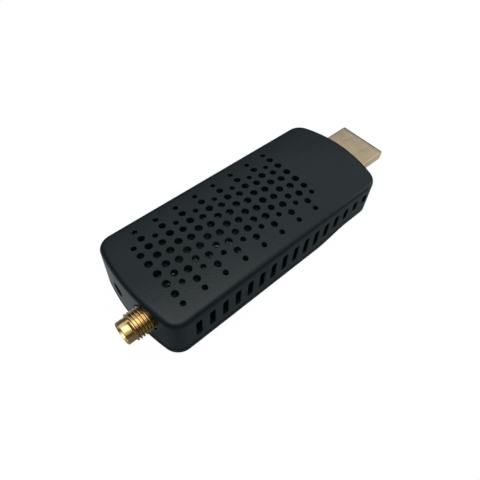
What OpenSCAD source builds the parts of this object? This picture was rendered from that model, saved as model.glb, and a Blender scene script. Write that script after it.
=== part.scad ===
// Television receiver stick: a crowned black case with an HDMI plug at one end and
// a threaded antenna socket at the other. Millimetres, +Z up, resting on z = 0,
// +X towards the plug, origin in the middle of the overall footprint.

/* [Case] */
// Length of the case between the middles of its bowed ends
case_l = 68.8; // [66:0.2:76]
// Width of the case
case_w = 28.7; // [28:0.1:34]
// Height of the case along the ridge of its crowned top
case_h = 13.8; // [13.4:0.1:16]
// Drop of the crowned top from its ridge to its side edges
crown_drop = 1.4; // [0.8:0.1:1.6]
// How far the middle of each end bows out
end_bow = 2.1; // [1.2:0.1:2.6]
// Radius of the corners seen from above
corner_r = 4.0; // [3:0.1:5]
// Radius along the edge of the top
edge_r = 1.4; // [0.8:0.1:1.8]
// Width of the chamfer along the edge of the underside
foot_chamfer = 0.4; // [0.2:0.1:0.8]
// Thickness of the side and end walls
wall = 1.5; // [1.4:0.1:1.8]
// Thickness of the top
top_t = 1.4; // [1:0.1:1.6]
// Thickness of the floor
floor_t = 1.3; // [1:0.1:1.8]
// Height of the joint line above the underside
split_h = 1.8; // [1.4:0.1:2.2]
// Height of the locating lip above the joint line
lip_h = 1.6; // [1.2:0.1:2]
// Thickness of the locating lip
lip_t = 0.6; // [0.5:0.05:0.8]

/* [Underside] */
// Height by which the underside steps up towards the plug, as a share of the case's height
rise_share = 0.1413; // [0.08:0.0001:0.16]
// Length of the stepped stretch
rise_l = 12; // [8:0.5:16]
// Distance from the plug end to where the step begins
rise_from_end = 22.6; // [20:0.2:26]
// Further rise between the step and the plug end
tail_h = 0.25; // [0:0.05:0.5]
// Length of the blank rating label
label_l = 34; // [20:1:40]
// Width of the blank rating label
label_w = 17; // [10:1:20]

/* [Top vents] */
// Number of hole columns
vent_columns = 16; // [8:2:16]
// Distance between neighbouring columns
vent_pitch = 2.84; // [2.6:0.02:2.9]
// Distance from the antenna end to the middle of the hole field
vent_from_end = 28.2; // [26:0.2:34]
// Diameter of the outermost holes of a column
vent_small_d = 1.45; // [1:0.05:1.6]
// Diameter of the holes next to the outermost ones
vent_medium_d = 1.75; // [1.2:0.05:1.9]
// Diameter of the three middle holes of a column
vent_large_d = 1.9; // [1.4:0.05:2.1]
// Distance from an outermost hole to the next
vent_outer_step = 2.6; // [2.4:0.05:2.7]
// Distance from that hole to the first large one
vent_middle_step = 2.9; // [2.7:0.05:3]
// Distance between large holes
vent_inner_step = 3.08; // [2.9:0.02:3.2]
// Sideways shift of the columns, one way and the other in turn
vent_shift = 1.97; // [1.5:0.05:2.1]

/* [Side slots] */
// Number of slots along the full side
slot_count = 16; // [8:1:16]
// Distance between slots
slot_pitch = 3.64; // [3.4:0.02:3.7]
// Distance from the antenna end to the first slot
slot_from_end = 8.0; // [7:0.1:10]
// Width of a slot
slot_w = 1.3; // [1:0.05:1.5]
// Height of a slot's lower end above the underside
slot_z = 4.0; // [3.9:0.1:4.6]
// Height of a full slot
slot_h = 5.3; // [4:0.1:5.6]
// Share of its distance by which a slot past the step is shortened from below
slot_slope_share = 0.16;

/* [Board] */
// Thickness of the circuit board
board_t = 0.8; // [0.6:0.1:1]
// Height of the board's middle plane, also the plug's, as a share of the case's height
board_z_share = 0.536; // [0.52:0.001:0.56]
// Gap between the board and the walls
board_gap = 0.5; // [0.3:0.05:0.8]

/* [HDMI plug] */
// Width of the plug's shell
plug_w = 13.9; // [13.8:0.05:14]
// Height of the plug's shell
plug_h = 4.45; // [4.4:0.05:4.55]
// Length of the plug outside the case
plug_out = 10.95; // [10:0.05:12]
// Whole length of the shell
plug_l = 18.5; // [18:0.1:20]
// Height of the upright part of the shell's sides
plug_side_h = 2.6; // [2.2:0.05:2.8]
// Width of the shell's lower face
plug_base_w = 10.8; // [10:0.05:11.4]
// Thickness of the shell's sheet
plug_sheet = 0.3; // [0.25:0.01:0.35]
// Pitch of the contacts in one row
plug_pitch = 1.0; // [0.95:0.01:1.02]

/* [Antenna socket] */
// Distance of the socket's axis from the case's middle line, as a share of its width
sma_offset_share = 0.202; // [0.19:0.001:0.21]
// Length of the socket outside the end wall
sma_out = 5.56; // [5:0.02:7]
// Radius over the thread's crests, a quarter inch thread
sma_thread_r = 3.125; // [3.075:0.005:3.16]
// Pitch of the thread, 36 turns to the inch
sma_thread_pitch = 0.7056; // [0.65:0.0001:0.8]
// Radius of the plain ring in front of the thread
sma_ring_r = 2.65; // [2.6:0.01:2.7]
// Length of that ring
sma_ring_l = 1.9; // [1.4:0.1:2.2]
// Radius of the socket's mouth
sma_mouth_r = 2.3; // [2.25:0.01:2.35]
// Depth of the mouth to the insulator's face
sma_mouth_l = 2.0; // [1.8:0.05:2.4]
// Side of the square flange behind the wall
sma_flange_w = 6.4; // [6.3:0.05:6.6]

/* [Remote eye jack] */
// Distance of the jack's axis from the case's middle line, as a share of its width
jack_offset_share = 0.1533; // [0.14:0.0001:0.17]
// Distance of the jack's axis below the board's middle plane
jack_drop = 0.8; // [0.5:0.1:1]
// Radius of the jack's bore, for a 3.5 mm plug
jack_bore_r = 1.8; // [1.75:0.01:1.85]
// Length of the jack's body
jack_l = 12; // [11:0.1:13]
// Width of the jack's body
jack_w = 6; // [5.6:0.1:6.2]
// Height of the jack's body
jack_h = 5.2; // [5:0.1:5.4]

/* [Side ports] */
// Place of the wide port's middle along the case, as a share of its length from the antenna end
usb_place_share = 0.471; // [0.46:0.001:0.48]
// Outer width of the wide port's shell
usb_w = 13.1; // [13:0.05:13.3]
// Outer height of the wide port's shell
usb_h = 5.7; // [5.6:0.05:5.8]
// Depth of the wide port's shell
usb_l = 10; // [9.6:0.1:10.4]
// Place of the power port's middle along the case, as a share of its length from the antenna end
micro_place_share = 0.718; // [0.71:0.001:0.73]
// Outer width of the power port's shell
micro_w = 7.5; // [7.4:0.05:7.7]
// Outer height of the power port's shell
micro_h = 2.6; // [2.5:0.05:2.8]
// Depth of the power port's shell
micro_l = 5; // [4.8:0.1:5.4]
// Height of the power port's middle above the board's middle plane
micro_lift = 1; // [0.8:0.1:1.2]

/* [Large components] */
// Side of the decoder chip's square body
decoder_w = 12; // [11:0.1:12.2]
// Height of the decoder chip's body
decoder_h = 1.4; // [1:0.05:1.5]
// Gap between the heat sink and the top above its outer edge
sink_gap = 0.25; // [0.2:0.05:0.6]
// Length of the tuner's screening can
can_l = 12; // [11:0.1:12.4]
// Width of the tuner's screening can
can_w = 11; // [10:0.1:11.4]
// Height of the tuner's screening can
can_h = 2.4; // [2:0.1:3]

/* [Hidden] */

// Overrun of every cut past the face that it opens
cut = 1;
// Gap of a slip fit between two moulded pieces
fit_gap = 0.1;
// Gap around what passes through a wall
pass_gap = 0.15;
// Gap between metal and the plastic that it is pressed into
press_gap = 0.02;

// Plan of the case: two long arcs for the ends, joined to the sides by corner arcs
end_arc_r = (pow(case_w / 2, 2) + pow(end_bow, 2)) / (2 * end_bow);
end_arc_x = case_l / 2 - end_arc_r;
corner_turn = asin((case_w / 2 - corner_r) / (end_arc_r - corner_r));
corner_x = end_arc_x + (end_arc_r - corner_r) * cos(corner_turn);
corner_steps = 6;
end_steps = 10;
edge_steps = 5;
rise_steps = 10;
crown_r = (pow(case_w / 2, 2) + pow(crown_drop, 2)) / (2 * crown_drop);
rise_x = case_l / 2 - rise_from_end;
rise_h = rise_share * case_h;
board_z = board_z_share * case_h;
jack_offset = jack_offset_share * case_w;
jack_z = board_z - jack_drop;

function arc(centre, r, from, to, steps) =
    [for (i = [0 : steps]) let (a = from + (to - from) * i / steps)
        centre + r * [cos(a), sin(a)]];
function inner(list) = [for (i = [1 : len(list) - 2]) list[i]];
function half_plan(inset) = concat(
    arc([corner_x, corner_r - case_w / 2], corner_r - inset, -90, -corner_turn, corner_steps),
    inner(arc([end_arc_x, 0], end_arc_r - inset, -corner_turn, corner_turn, end_steps)),
    arc([corner_x, case_w / 2 - corner_r], corner_r - inset, corner_turn, 90, corner_steps));
function flipped(list) = [for (i = [len(list) - 1 : -1 : 0]) [-list[i].x, list[i].y]];
function plan(inset) = let (half = half_plan(inset)) concat(half, flipped(half));
function end_x(y) = end_arc_x + sqrt(pow(end_arc_r, 2) - pow(y, 2));
function crown_z(y) = case_h - crown_r + sqrt(pow(crown_r, 2) - pow(y, 2));
function rise(x) =
    x < rise_x ? 0 :
    x < rise_x + rise_l ? rise_h * (1 - cos(180 * (x - rise_x) / rise_l)) / 2 :
    rise_h + tail_h * (x - rise_x - rise_l) / (case_l / 2 - rise_x - rise_l);

// Board: straight edges at both ends, the case's own plan along the sides
sma_y = -sma_offset_share * case_w;
sma_flange_t = 1.5;
sma_seat_gap = 0.1;
sma_flange_x = -end_x(sma_y) + wall + sma_seat_gap;
board_low_x = sma_flange_x + sma_flange_t;
plug_rear_x = case_l / 2 + plug_out - plug_l;
board_plug_gap = 0.45;
board_high_x = plug_rear_x - board_plug_gap;
board_l = board_high_x - board_low_x;
board_w = case_w - 2 * (wall + board_gap);
board_x = (board_low_x + board_high_x) / 2;
board_top = board_z + board_t / 2;
board_bottom = board_z - board_t / 2;
function spot(shares) = [board_x + shares.x * board_l / 2, shares.y * board_w / 2];

// The case is shifted along X so that the overall length is centred on the origin
sma_front_x = -end_x(sma_y) - sma_out;
case_x = -(sma_front_x + case_l / 2 + plug_out) / 2;
module place() { translate([case_x, 0, 0]) children(); }
module along_x(length) { rotate([90, 0, 90]) linear_extrude(length) children(); }
module inward_y(length) { rotate([90, 0, 0]) linear_extrude(length) children(); }
module block(size) { translate([-size.x / 2, -size.y / 2, 0]) cube(size); }

// Solid that the two covers are cut from
function plan_ring(inset, z) = [for (p = plan(inset)) [p.x, p.y, z]];
function edge_ring(turn) = let (rim = plan(edge_r), now = plan(edge_r * (1 - cos(turn))))
    [for (i = [0 : len(rim) - 1])
        [now[i].x, now[i].y, crown_z(rim[i].y) - edge_r * (1 - sin(turn))]];
module case_block() {
    rings = concat(
        [plan_ring(foot_chamfer, 0), plan_ring(0, foot_chamfer)],
        [for (i = [0 : edge_steps]) edge_ring(90 * i / edge_steps)]);
    count = len(rings[0]);
    last = (len(rings) - 1) * count;
    walls = [for (k = [0 : len(rings) - 2], i = [0 : count - 1]) let (j = (i + 1) % count)
        [k * count + i, (k + 1) * count + i, (k + 1) * count + j, k * count + j]];
    crown = [for (i = [0 : count / 2 - 2])
        [last + i, last + count - 1 - i, last + count - 2 - i, last + i + 1]];
    polyhedron(
        points = [for (ring = rings, p = ring) p],
        faces = concat([[for (i = [0 : count - 1]) i]], walls, crown),
        convexity = 4);
}
// Everything above the stepped underside, lifted by a height
module above_underside(lift) {
    low_x = -case_l;
    high_x = case_l;
    step = [for (i = [0 : rise_steps]) let (x = rise_x + rise_l * i / rise_steps)
        [x, rise(x) + lift]];
    translate([0, case_w, 0]) inward_y(2 * case_w) polygon(concat(
        [[low_x, lift]], step, [[high_x, rise(high_x) + lift],
        [high_x, 2 * case_h], [low_x, 2 * case_h]]));
}
module plan_prism(inset, low, high) {
    translate([0, 0, low]) linear_extrude(high - low) polygon(plan(inset));
}

// Top cover
vent_x = vent_from_end - case_l / 2;
vent_sizes = [vent_small_d, vent_medium_d, vent_large_d, vent_large_d, vent_large_d,
    vent_medium_d, vent_small_d];
vent_steps = [vent_outer_step, vent_middle_step, vent_inner_step, vent_inner_step,
    vent_middle_step, vent_outer_step];
function sum_to(list, n) = n == 0 ? 0 : list[n - 1] + sum_to(list, n - 1);
vent_reach = sum_to(vent_steps, len(vent_steps)) / 2;
module vents() {
    for (k = [0 : vent_columns - 1], j = [0 : len(vent_sizes) - 1]) {
        side = k % 2 == 0 ? -1 : 1;
        x = vent_x + (k - (vent_columns - 1) / 2) * vent_pitch;
        y = side * vent_shift + sum_to(vent_steps, j) - vent_reach;
        translate([x, y, case_h - crown_drop - top_t - cut])
            cylinder(d = vent_sizes[j], h = crown_drop + top_t + 2 * cut, $fn = 32);
    }
}
function slot_x(i) = slot_from_end - case_l / 2 + i * slot_pitch;
function slot_low(x) = slot_z + slot_slope_share * max(0, x - rise_x + slot_pitch / 2);
module side_slot(x, side) {
    low = slot_low(x);
    translate([x - slot_w / 2, side * (case_w / 2 - wall / 2) - wall, low])
        cube([slot_w, 2 * wall, slot_z + slot_h - low]);
}
usb_x = (usb_place_share - 0.5) * case_l;
micro_x = (micro_place_share - 0.5) * case_l;
// The wide port stands halfway between the floor and the top's side edge
usb_z = (floor_t + case_h - crown_drop - top_t) / 2;
micro_z = board_z + micro_lift;
port_margin = 1.6;
function clears_ports(x) = abs(x - usb_x) > usb_w / 2 + port_margin
    && abs(x - micro_x) > micro_w / 2 + port_margin;
// Height of the dam that closes the notch below the plug
dam_top = board_z - plug_h / 2 - pass_gap;
bead_h = 0.7;
bead_l = 5;
bead_out = 0.3;
bead_drop = 0.15;
bead_z = split_h + lip_h - bead_h - bead_drop;
bead_shares = [-0.66, -0.38, 0.3];
module snap_beads(grow) {
    for (side = [-1, 1], share = bead_shares)
        translate([share * case_l / 2 - bead_l / 2 - grow,
            side * (case_w / 2 - wall + lip_t) - (side < 0 ? bead_out + grow : fit_gap),
            bead_z - grow])
            cube([bead_l + 2 * grow, bead_out + fit_gap + grow, bead_h + 2 * grow]);
}
module top_cavity() {
    intersection() {
        plan_prism(wall, -cut, case_h);
        translate([-case_l / 2, 0, case_h - crown_r])
            rotate([0, 90, 0]) cylinder(r = crown_r - top_t, h = case_l, $fn = 360);
    }
}
module top_cover() place() color("#2c3032") difference() {
    intersection() {
        case_block();
        above_underside(split_h);
    }
    top_cavity();
    difference() {
        plan_prism(wall - lip_t - fit_gap, -cut, case_h);
        above_underside(split_h + lip_h + fit_gap);
    }
    snap_beads(fit_gap);
    vents();
    for (i = [0 : slot_count - 1]) {
        side_slot(slot_x(i), -1);
        if (clears_ports(slot_x(i))) side_slot(slot_x(i), 1);
    }
    translate([-case_l / 2 - cut, sma_y, sma_z]) rotate([0, 90, 0])
        cylinder(r = sma_thread_r + 2 * pass_gap, h = end_bow + wall + 2 * cut, $fn = 64);
    translate([-case_l / 2 - cut, jack_offset, jack_z]) rotate([0, 90, 0])
        cylinder(r = jack_bore_r, h = end_bow + wall + 2 * cut, $fn = 64);
    translate([case_l / 2 - wall - cut, -plug_w / 2 - pass_gap, 0])
        cube([wall + 2 * cut, plug_w + 2 * pass_gap, board_z + plug_h / 2 + pass_gap]);
    translate([usb_x, case_w / 2 + cut, usb_z]) inward_y(wall + 2 * cut)
        square([usb_w + 2 * pass_gap, usb_h + 2 * pass_gap], center = true);
    translate([micro_x, case_w / 2 + cut, micro_z]) inward_y(wall + 2 * cut)
        square([micro_w + 2 * pass_gap, micro_h + 2 * pass_gap], center = true);
}

// Bottom cover with its lip, the dam under the plug and the posts for the board
post_r = 1.8;
pin_post_r = 1.5;
pin_r = 0.7;
pin_h = 1.6;
pin_tip = 0.3;
screw_r = 0.95;
screw_l = 5;
screw_head_r = 1.75;
screw_head_h = 1.1;
pilot_gap = 0.04;
screw_shares = [[-0.885, 0.86], [0.865, -0.83]];
pin_shares = [[-0.80, -0.84], [0.865, 0.83]];
label_shift_share = -0.16;
label_x = label_shift_share * case_l;
label_t = 0.12;
label_recess = 0.15;
module board_post(shares, r) {
    at = spot(shares);
    intersection() {
        translate([at.x, at.y, 0]) cylinder(r = r, h = board_bottom, $fn = 48);
        above_underside(floor_t / 2);
    }
}
module bottom_shell() {
    difference() {
        intersection() {
            case_block();
            above_underside(0);
        }
        above_underside(split_h);
        intersection() {
            plan_prism(wall, -cut, case_h);
            above_underside(floor_t);
        }
    }
}
module lip() {
    difference() {
        intersection() {
            plan_prism(wall - lip_t, 0, case_h);
            above_underside(floor_t);
        }
        plan_prism(wall, -cut, case_h + cut);
        above_underside(split_h + lip_h);
        translate([case_l / 2 - 2 * wall - end_bow, -plug_w / 2 - pass_gap, dam_top])
            cube([2 * wall + end_bow, plug_w + 2 * pass_gap, case_h]);
        translate([usb_x - usb_w / 2 - pass_gap, 0, usb_z - usb_h / 2 - pass_gap])
            cube([usb_w + 2 * pass_gap, case_w, case_h]);
    }
}
module plug_dam() {
    intersection() {
        difference() {
            plan_prism(0, 0, dam_top);
            plan_prism(wall, -cut, dam_top + cut);
        }
        above_underside(split_h / 2);
        translate([case_l / 2 - wall - end_bow, -plug_w / 2, 0]) cube([wall + end_bow, plug_w, dam_top]);
    }
}
module bottom_cover() place() color("#26292b") difference() {
    union() {
        bottom_shell();
        lip();
        plug_dam();
        snap_beads(0);
        for (s = screw_shares) board_post(s, post_r);
        for (s = pin_shares) {
            board_post(s, pin_post_r);
            translate([spot(s).x, spot(s).y, board_bottom - cut])
                cylinder(r = pin_r, h = cut + pin_h, $fn = 32);
        }
    }
    for (s = screw_shares)
        translate([spot(s).x, spot(s).y, board_top - screw_l - pin_tip])
            cylinder(r = screw_r + pilot_gap, h = screw_l + cut, $fn = 32);
    translate([label_x, 0, -cut]) block([label_l + 2 * fit_gap, label_w + 2 * fit_gap, cut + label_recess]);
}
module rating_label() place() color("#3a3d3f")
    translate([label_x, 0, label_recess - label_t]) block([label_l, label_w, label_t]);

// Circuit board
usb_face = 0.5;
usb_mouth_y = case_w / 2 - usb_face;
usb_rear_y = usb_mouth_y - usb_l;
micro_face = 0.4;
micro_mouth_y = case_w / 2 - micro_face;
micro_rear_y = micro_mouth_y - micro_l;
jack_low_x = -end_x(jack_offset) + wall + sma_seat_gap;
jack_high_x = jack_low_x + jack_l;
cutout_gap = 0.3;
lock_t = plug_sheet;
lock_l = 3.2;
lock_h = 2.4;
lock_y = plug_w / 2 - plug_sheet / 2;
hole_gap = 0.12;
module main_board() place() color("#1f5a3a") difference() {
    translate([0, 0, board_bottom]) linear_extrude(board_t) intersection() {
        polygon(plan(wall + board_gap));
        translate([board_low_x, -case_w / 2]) square([board_l, case_w]);
    }
    translate([usb_x - usb_w / 2 - cutout_gap, usb_rear_y - cutout_gap, 0])
        cube([usb_w + 2 * cutout_gap, case_w, case_h]);
    translate([micro_x - micro_w / 2 - cutout_gap, micro_rear_y - cutout_gap, 0])
        cube([micro_w + 2 * cutout_gap, case_w, case_h]);
    translate([board_low_x - cut, jack_offset - jack_w / 2 - cutout_gap, 0])
        cube([jack_high_x - board_low_x + cutout_gap + cut, jack_w + 2 * cutout_gap, case_h]);
    for (side = [-1, 1])
        translate([plug_rear_x - lock_l - cutout_gap, side * lock_y - lock_t / 2 - hole_gap, 0])
            cube([lock_l + cutout_gap + cut, lock_t + 2 * hole_gap, case_h]);
    for (s = screw_shares)
        translate([spot(s).x, spot(s).y, 0]) cylinder(r = screw_r + hole_gap, h = case_h, $fn = 32);
    for (s = pin_shares)
        translate([spot(s).x, spot(s).y, 0]) cylinder(r = pin_r + hole_gap, h = case_h, $fn = 32);
}
// Self-tapping pan head screws with a cross recess
recess_w = 0.5;
recess_l = 2;
recess_d = 0.6;
module board_screws() place() color("#b9bcc0") for (s = screw_shares)
    translate([spot(s).x, spot(s).y, board_top]) difference() {
        union() {
            rotate_extrude($fn = 48) polygon([[0, 0], [screw_head_r, 0],
                [screw_head_r, screw_head_h / 2], [screw_head_r - screw_head_h / 4, screw_head_h],
                [0, screw_head_h]]);
            translate([0, 0, -screw_l]) cylinder(r = screw_r, h = screw_l + screw_head_h / 2, $fn = 48);
        }
        for (turn = [0, 90]) rotate([0, 0, turn])
            translate([0, 0, screw_head_h - recess_d])
                block([recess_l, recess_w, recess_d + cut]);
    }

// HDMI plug: folded shell, moulded core and two rows of contacts
plug_corner_r = 0.5;
plug_base_share = 0.6;
core_gap = 0.04;
core_front = 0.7;
tongue_room_w = 11.6;
tongue_room_h = 1.9;
tongue_room_l = 7;
contact_w = 0.44;
contact_t = 0.2;
contact_front = 1.1;
contact_foot_l = 2;
contact_bend = 0.28;
plug_tip_x = case_l / 2 + plug_out;
function plug_outline(inset) = let (
        w = plug_w / 2 - inset, h = plug_h / 2 - inset, r = plug_corner_r - inset / 2,
        knee = plug_h / 2 - plug_side_h, base = plug_base_w / 2 - inset * plug_base_share)
    concat(arc([w - r, h - r], r, 0, 90, 4), arc([r - w, h - r], r, 90, 180, 4),
        [[-w, knee], [-base, -h], [base, -h], [w, knee]]);
module hdmi_shell() place() color("#c3b59a") {
    difference() {
        translate([plug_rear_x, 0, board_z]) along_x(plug_l) polygon(plug_outline(0));
        translate([plug_rear_x - cut, 0, board_z]) along_x(plug_l + 2 * cut)
            polygon(plug_outline(plug_sheet));
    }
    for (side = [-1, 1])
        translate([plug_rear_x - lock_l, side * lock_y - lock_t / 2, board_z - lock_h / 2 + contact_t])
            cube([lock_l + plug_sheet, lock_t, lock_h]);
}
function row_count(side) = side > 0 ? 10 : 9;
function contact_y(side, i) = (i - (row_count(side) - 1) / 2) * plug_pitch;
module contact_strip(side, grow) {
    near = tongue_room_h / 2;
    foot = board_t / 2;
    bend_x = plug_rear_x - contact_bend;
    points = [
        [plug_tip_x - contact_front - core_front + grow, near - grow],
        [plug_tip_x - contact_front - core_front + grow, near + contact_t + grow],
        [bend_x - contact_t, near + contact_t + grow],
        [bend_x - contact_t, foot + contact_t],
        [bend_x - contact_foot_l, foot + contact_t],
        [bend_x - contact_foot_l, foot],
        [bend_x, foot],
        [bend_x, near - grow]];
    translate([0, contact_w / 2 + grow, board_z]) scale([1, 1, side])
        rotate([90, 0, 0]) linear_extrude(contact_w + 2 * grow) polygon(points);
}
module hdmi_insulator() place() color("#1b1b1c") difference() {
    translate([plug_rear_x, 0, board_z]) along_x(plug_l - core_front)
        polygon(plug_outline(plug_sheet + core_gap));
    translate([plug_tip_x - core_front - tongue_room_l, -tongue_room_w / 2, board_z - tongue_room_h / 2])
        cube([tongue_room_l + cut, tongue_room_w, tongue_room_h]);
    for (side = [-1, 1], i = [0 : row_count(side) - 1])
        translate([0, contact_y(side, i), 0]) contact_strip(side, press_gap);
}
module hdmi_contacts() place() color("#d8b25a")
    for (side = [-1, 1], i = [0 : row_count(side) - 1])
        translate([0, contact_y(side, i), 0]) contact_strip(side, 0);

// Antenna socket: threaded body with four board legs, insulator and centre contact
sma_tail_r = 0.2;
sma_z = board_top + sma_tail_r;
sma_root_r = sma_thread_r - 0.61 * sma_thread_pitch;
sma_length = sma_flange_x - sma_front_x;
sma_relief = 0.35;
crest_share = 0.14;
flank_share = 0.38;
thread_l = sma_length - sma_ring_l - sma_relief;
thread_turns = floor(thread_l / sma_thread_pitch);
thread_start = thread_l - thread_turns * sma_thread_pitch;
// The crests begin clear of the bowed end, so that a nut can reach them all
thread_clear = case_l / 2 + sma_flange_x;
thread_first = ceil((thread_clear - thread_start) / sma_thread_pitch - flank_share);
ring_chamfer = 0.15;
leg_w = 1;
leg_l = 4;
leg_h = 1.1;
ptfe_r = 2.08;
contact_r = 0.635;
contact_bore_r = 0.48;
contact_bore_l = 3;
contact_slit = 0.2;
tail_l = 1.6;
module facing_out() { translate([sma_flange_x, sma_y, sma_z]) rotate([0, -90, 0]) children(); }
function thread_tooth(i) = let (s = thread_start + i * sma_thread_pitch)
    [[sma_root_r, s], [sma_thread_r, s + flank_share * sma_thread_pitch],
     [sma_thread_r, s + (flank_share + crest_share) * sma_thread_pitch],
     [sma_root_r, s + (2 * flank_share + crest_share) * sma_thread_pitch]];
module antenna_body() place() color("#c79a48") {
    difference() {
        union() {
            facing_out() rotate_extrude($fn = 96) polygon(concat(
                [[0, -sma_flange_t / 2], [sma_root_r, -sma_flange_t / 2]],
                [for (i = [thread_first : thread_turns - 1], p = thread_tooth(i)) p],
                [[sma_root_r, sma_length - sma_ring_l], [sma_ring_r, sma_length - sma_ring_l],
                 [sma_ring_r, sma_length - ring_chamfer],
                 [sma_ring_r - ring_chamfer, sma_length], [0, sma_length]]));
            facing_out() translate([-sma_flange_w / 2, -sma_flange_w / 2, -sma_flange_t])
                cube([sma_flange_w, sma_flange_w, sma_flange_t]);
            for (side = [-1, 1])
                translate([board_low_x - sma_flange_t / 2,
                    sma_y + side * (sma_flange_w - leg_w) / 2 - leg_w / 2, 0]) {
                    translate([0, 0, board_top]) cube([leg_l, leg_w, leg_h]);
                    translate([0, 0, board_bottom - leg_h]) cube([leg_l, leg_w, leg_h]);
                }
        }
        facing_out() translate([0, 0, sma_length - sma_mouth_l])
            cylinder(r = sma_mouth_r, h = sma_mouth_l + cut, $fn = 96);
        facing_out() translate([0, 0, -sma_flange_t - cut])
            cylinder(r = ptfe_r + press_gap, h = sma_length + cut, $fn = 96);
    }
}
module antenna_insulator() place() color("#e9e6dd") facing_out() difference() {
    translate([0, 0, -sma_flange_t])
        cylinder(r = ptfe_r, h = sma_length + sma_flange_t - sma_mouth_l, $fn = 64);
    translate([0, 0, -sma_flange_t - cut])
        cylinder(r = contact_r + press_gap, h = sma_length + sma_flange_t + 2 * cut, $fn = 48);
}
module antenna_contact() place() color("#d8b25a") facing_out() difference() {
    union() {
        translate([0, 0, -sma_flange_t])
            cylinder(r = contact_r, h = sma_length + sma_flange_t - sma_mouth_l, $fn = 48);
        translate([0, 0, -sma_flange_t - tail_l]) cylinder(r = sma_tail_r, h = tail_l + contact_r, $fn = 32);
    }
    translate([0, 0, sma_length - sma_mouth_l - contact_bore_l])
        cylinder(r = contact_bore_r, h = contact_bore_l + cut, $fn = 32);
    for (turn = [0, 90]) rotate([0, 0, turn])
        translate([0, 0, sma_length - sma_mouth_l - contact_bore_l])
            block([2 * contact_r + cut, contact_slit, contact_bore_l + cut]);
}

// Jack for the remote control's eye, sunk into a notch in the board
jack_back = 1;
jack_ear_w = 1.4;
jack_ear_l = 2.4;
jack_ear_t = 0.25;
spring_w = 1.2;
spring_t = 0.2;
spring_in = 0.15;
spring_l = 6;
spring_shares = [0.28, 0.62];
ear_shares = [0.13, 0.87];
module spring_window(share, grow) {
    side = share < 0.5 ? 1 : -1;
    x = jack_low_x + share * jack_l;
    near = jack_bore_r - spring_in;
    translate([x - spring_l / 4 - grow, jack_offset - spring_w / 2 - grow,
        side > 0 ? jack_z + near - grow : jack_z - jack_h / 2 - cut])
        cube([spring_l / 2 + 2 * grow, spring_w + 2 * grow, jack_h / 2 + cut - near + grow]);
}
module jack_body() place() color("#1c1c1e") difference() {
    translate([jack_low_x, jack_offset - jack_w / 2, jack_z - jack_h / 2]) cube([jack_l, jack_w, jack_h]);
    translate([jack_low_x - cut, jack_offset, jack_z]) rotate([0, 90, 0])
        cylinder(r = jack_bore_r, h = jack_l - jack_back + cut, $fn = 64);
    for (share = spring_shares) spring_window(share, press_gap);
}
module jack_springs() place() color("#c9c6bd") {
    for (share = spring_shares) {
        side = share < 0.5 ? 1 : -1;
        x = jack_low_x + share * jack_l;
        near = jack_bore_r - spring_in;
        low = side > 0 ? jack_z + near : jack_z - near - spring_t;
        translate([x - spring_l / 4, jack_offset - spring_w / 2, low])
            cube([spring_l / 2, spring_w, spring_t]);
        riser = jack_h / 2 - near;
        translate([x - spring_l / 4, jack_offset - spring_w / 2,
            side > 0 ? jack_z + near : jack_z - jack_h / 2])
            cube([spring_t, spring_w, riser]);
    }
    for (side = [-1, 1], share = ear_shares)
        translate([jack_low_x + share * jack_l - jack_ear_l / 2,
            side > 0 ? jack_offset + jack_w / 2 : jack_offset - jack_w / 2 - jack_ear_w, board_top])
            cube([jack_ear_l, jack_ear_w, jack_ear_t]);
}

// Wide port, sunk into a cutout in the board
usb_sheet = 0.3;
usb_base_l = 2.4;
usb_tongue_w = 11.1;
usb_tongue_t = 1.84;
usb_tongue_back = 1;
usb_tongue_gap = 0.72;
usb_ear_w = 1.5;
usb_ear_l = 2.2;
usb_contact_w = 1;
usb_contact_t = 0.2;
usb_contact_shares = [-0.63, -0.18, 0.18, 0.63];
usb_tail_l = 1.3;
usb_tongue_low = usb_z + usb_h / 2 - usb_sheet - usb_tongue_gap - usb_tongue_t;
module usb_shell() place() color("#bfc2c4") {
    translate([usb_x, usb_mouth_y, usb_z]) inward_y(usb_l) difference() {
        square([usb_w, usb_h], center = true);
        square([usb_w - 2 * usb_sheet, usb_h - 2 * usb_sheet], center = true);
    }
    for (side = [-1, 1], y = [usb_rear_y + usb_ear_l / 2, usb_rear_y + usb_l / 2])
        translate([usb_x + side * (usb_w + usb_ear_w - usb_sheet) / 2 - usb_ear_w / 2, y, board_top])
            cube([usb_ear_w, usb_ear_l, usb_sheet]);
}
module usb_insulator() place() color("#1f1f21") difference() {
    union() {
        translate([usb_x, usb_rear_y + usb_base_l, usb_z]) inward_y(usb_base_l)
            square([usb_w - 2 * (usb_sheet + press_gap), usb_h - 2 * (usb_sheet + press_gap)], center = true);
        translate([usb_x - usb_tongue_w / 2, usb_rear_y, usb_tongue_low])
            cube([usb_tongue_w, usb_l - usb_tongue_back, usb_tongue_t]);
    }
    usb_strips(press_gap);
}
module usb_strips(grow) {
    for (share = usb_contact_shares)
        translate([usb_x + share * usb_tongue_w / 2 - usb_contact_w / 2 - grow,
            usb_rear_y - usb_contact_t, usb_tongue_low - grow])
            cube([usb_contact_w + 2 * grow,
                usb_l - 2 * usb_tongue_back + usb_contact_t, usb_contact_t + 2 * grow]);
}
module usb_contacts() place() color("#d8b25a") {
    usb_strips(0);
    for (share = usb_contact_shares)
        translate([usb_x + share * usb_tongue_w / 2 - usb_contact_w / 2, usb_rear_y, 0]) {
            translate([0, -usb_contact_t, usb_tongue_low])
                cube([usb_contact_w, usb_contact_t, board_top + usb_contact_t - usb_tongue_low]);
            translate([0, -usb_tail_l, board_top]) cube([usb_contact_w, usb_tail_l, usb_contact_t]);
        }
}

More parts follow.
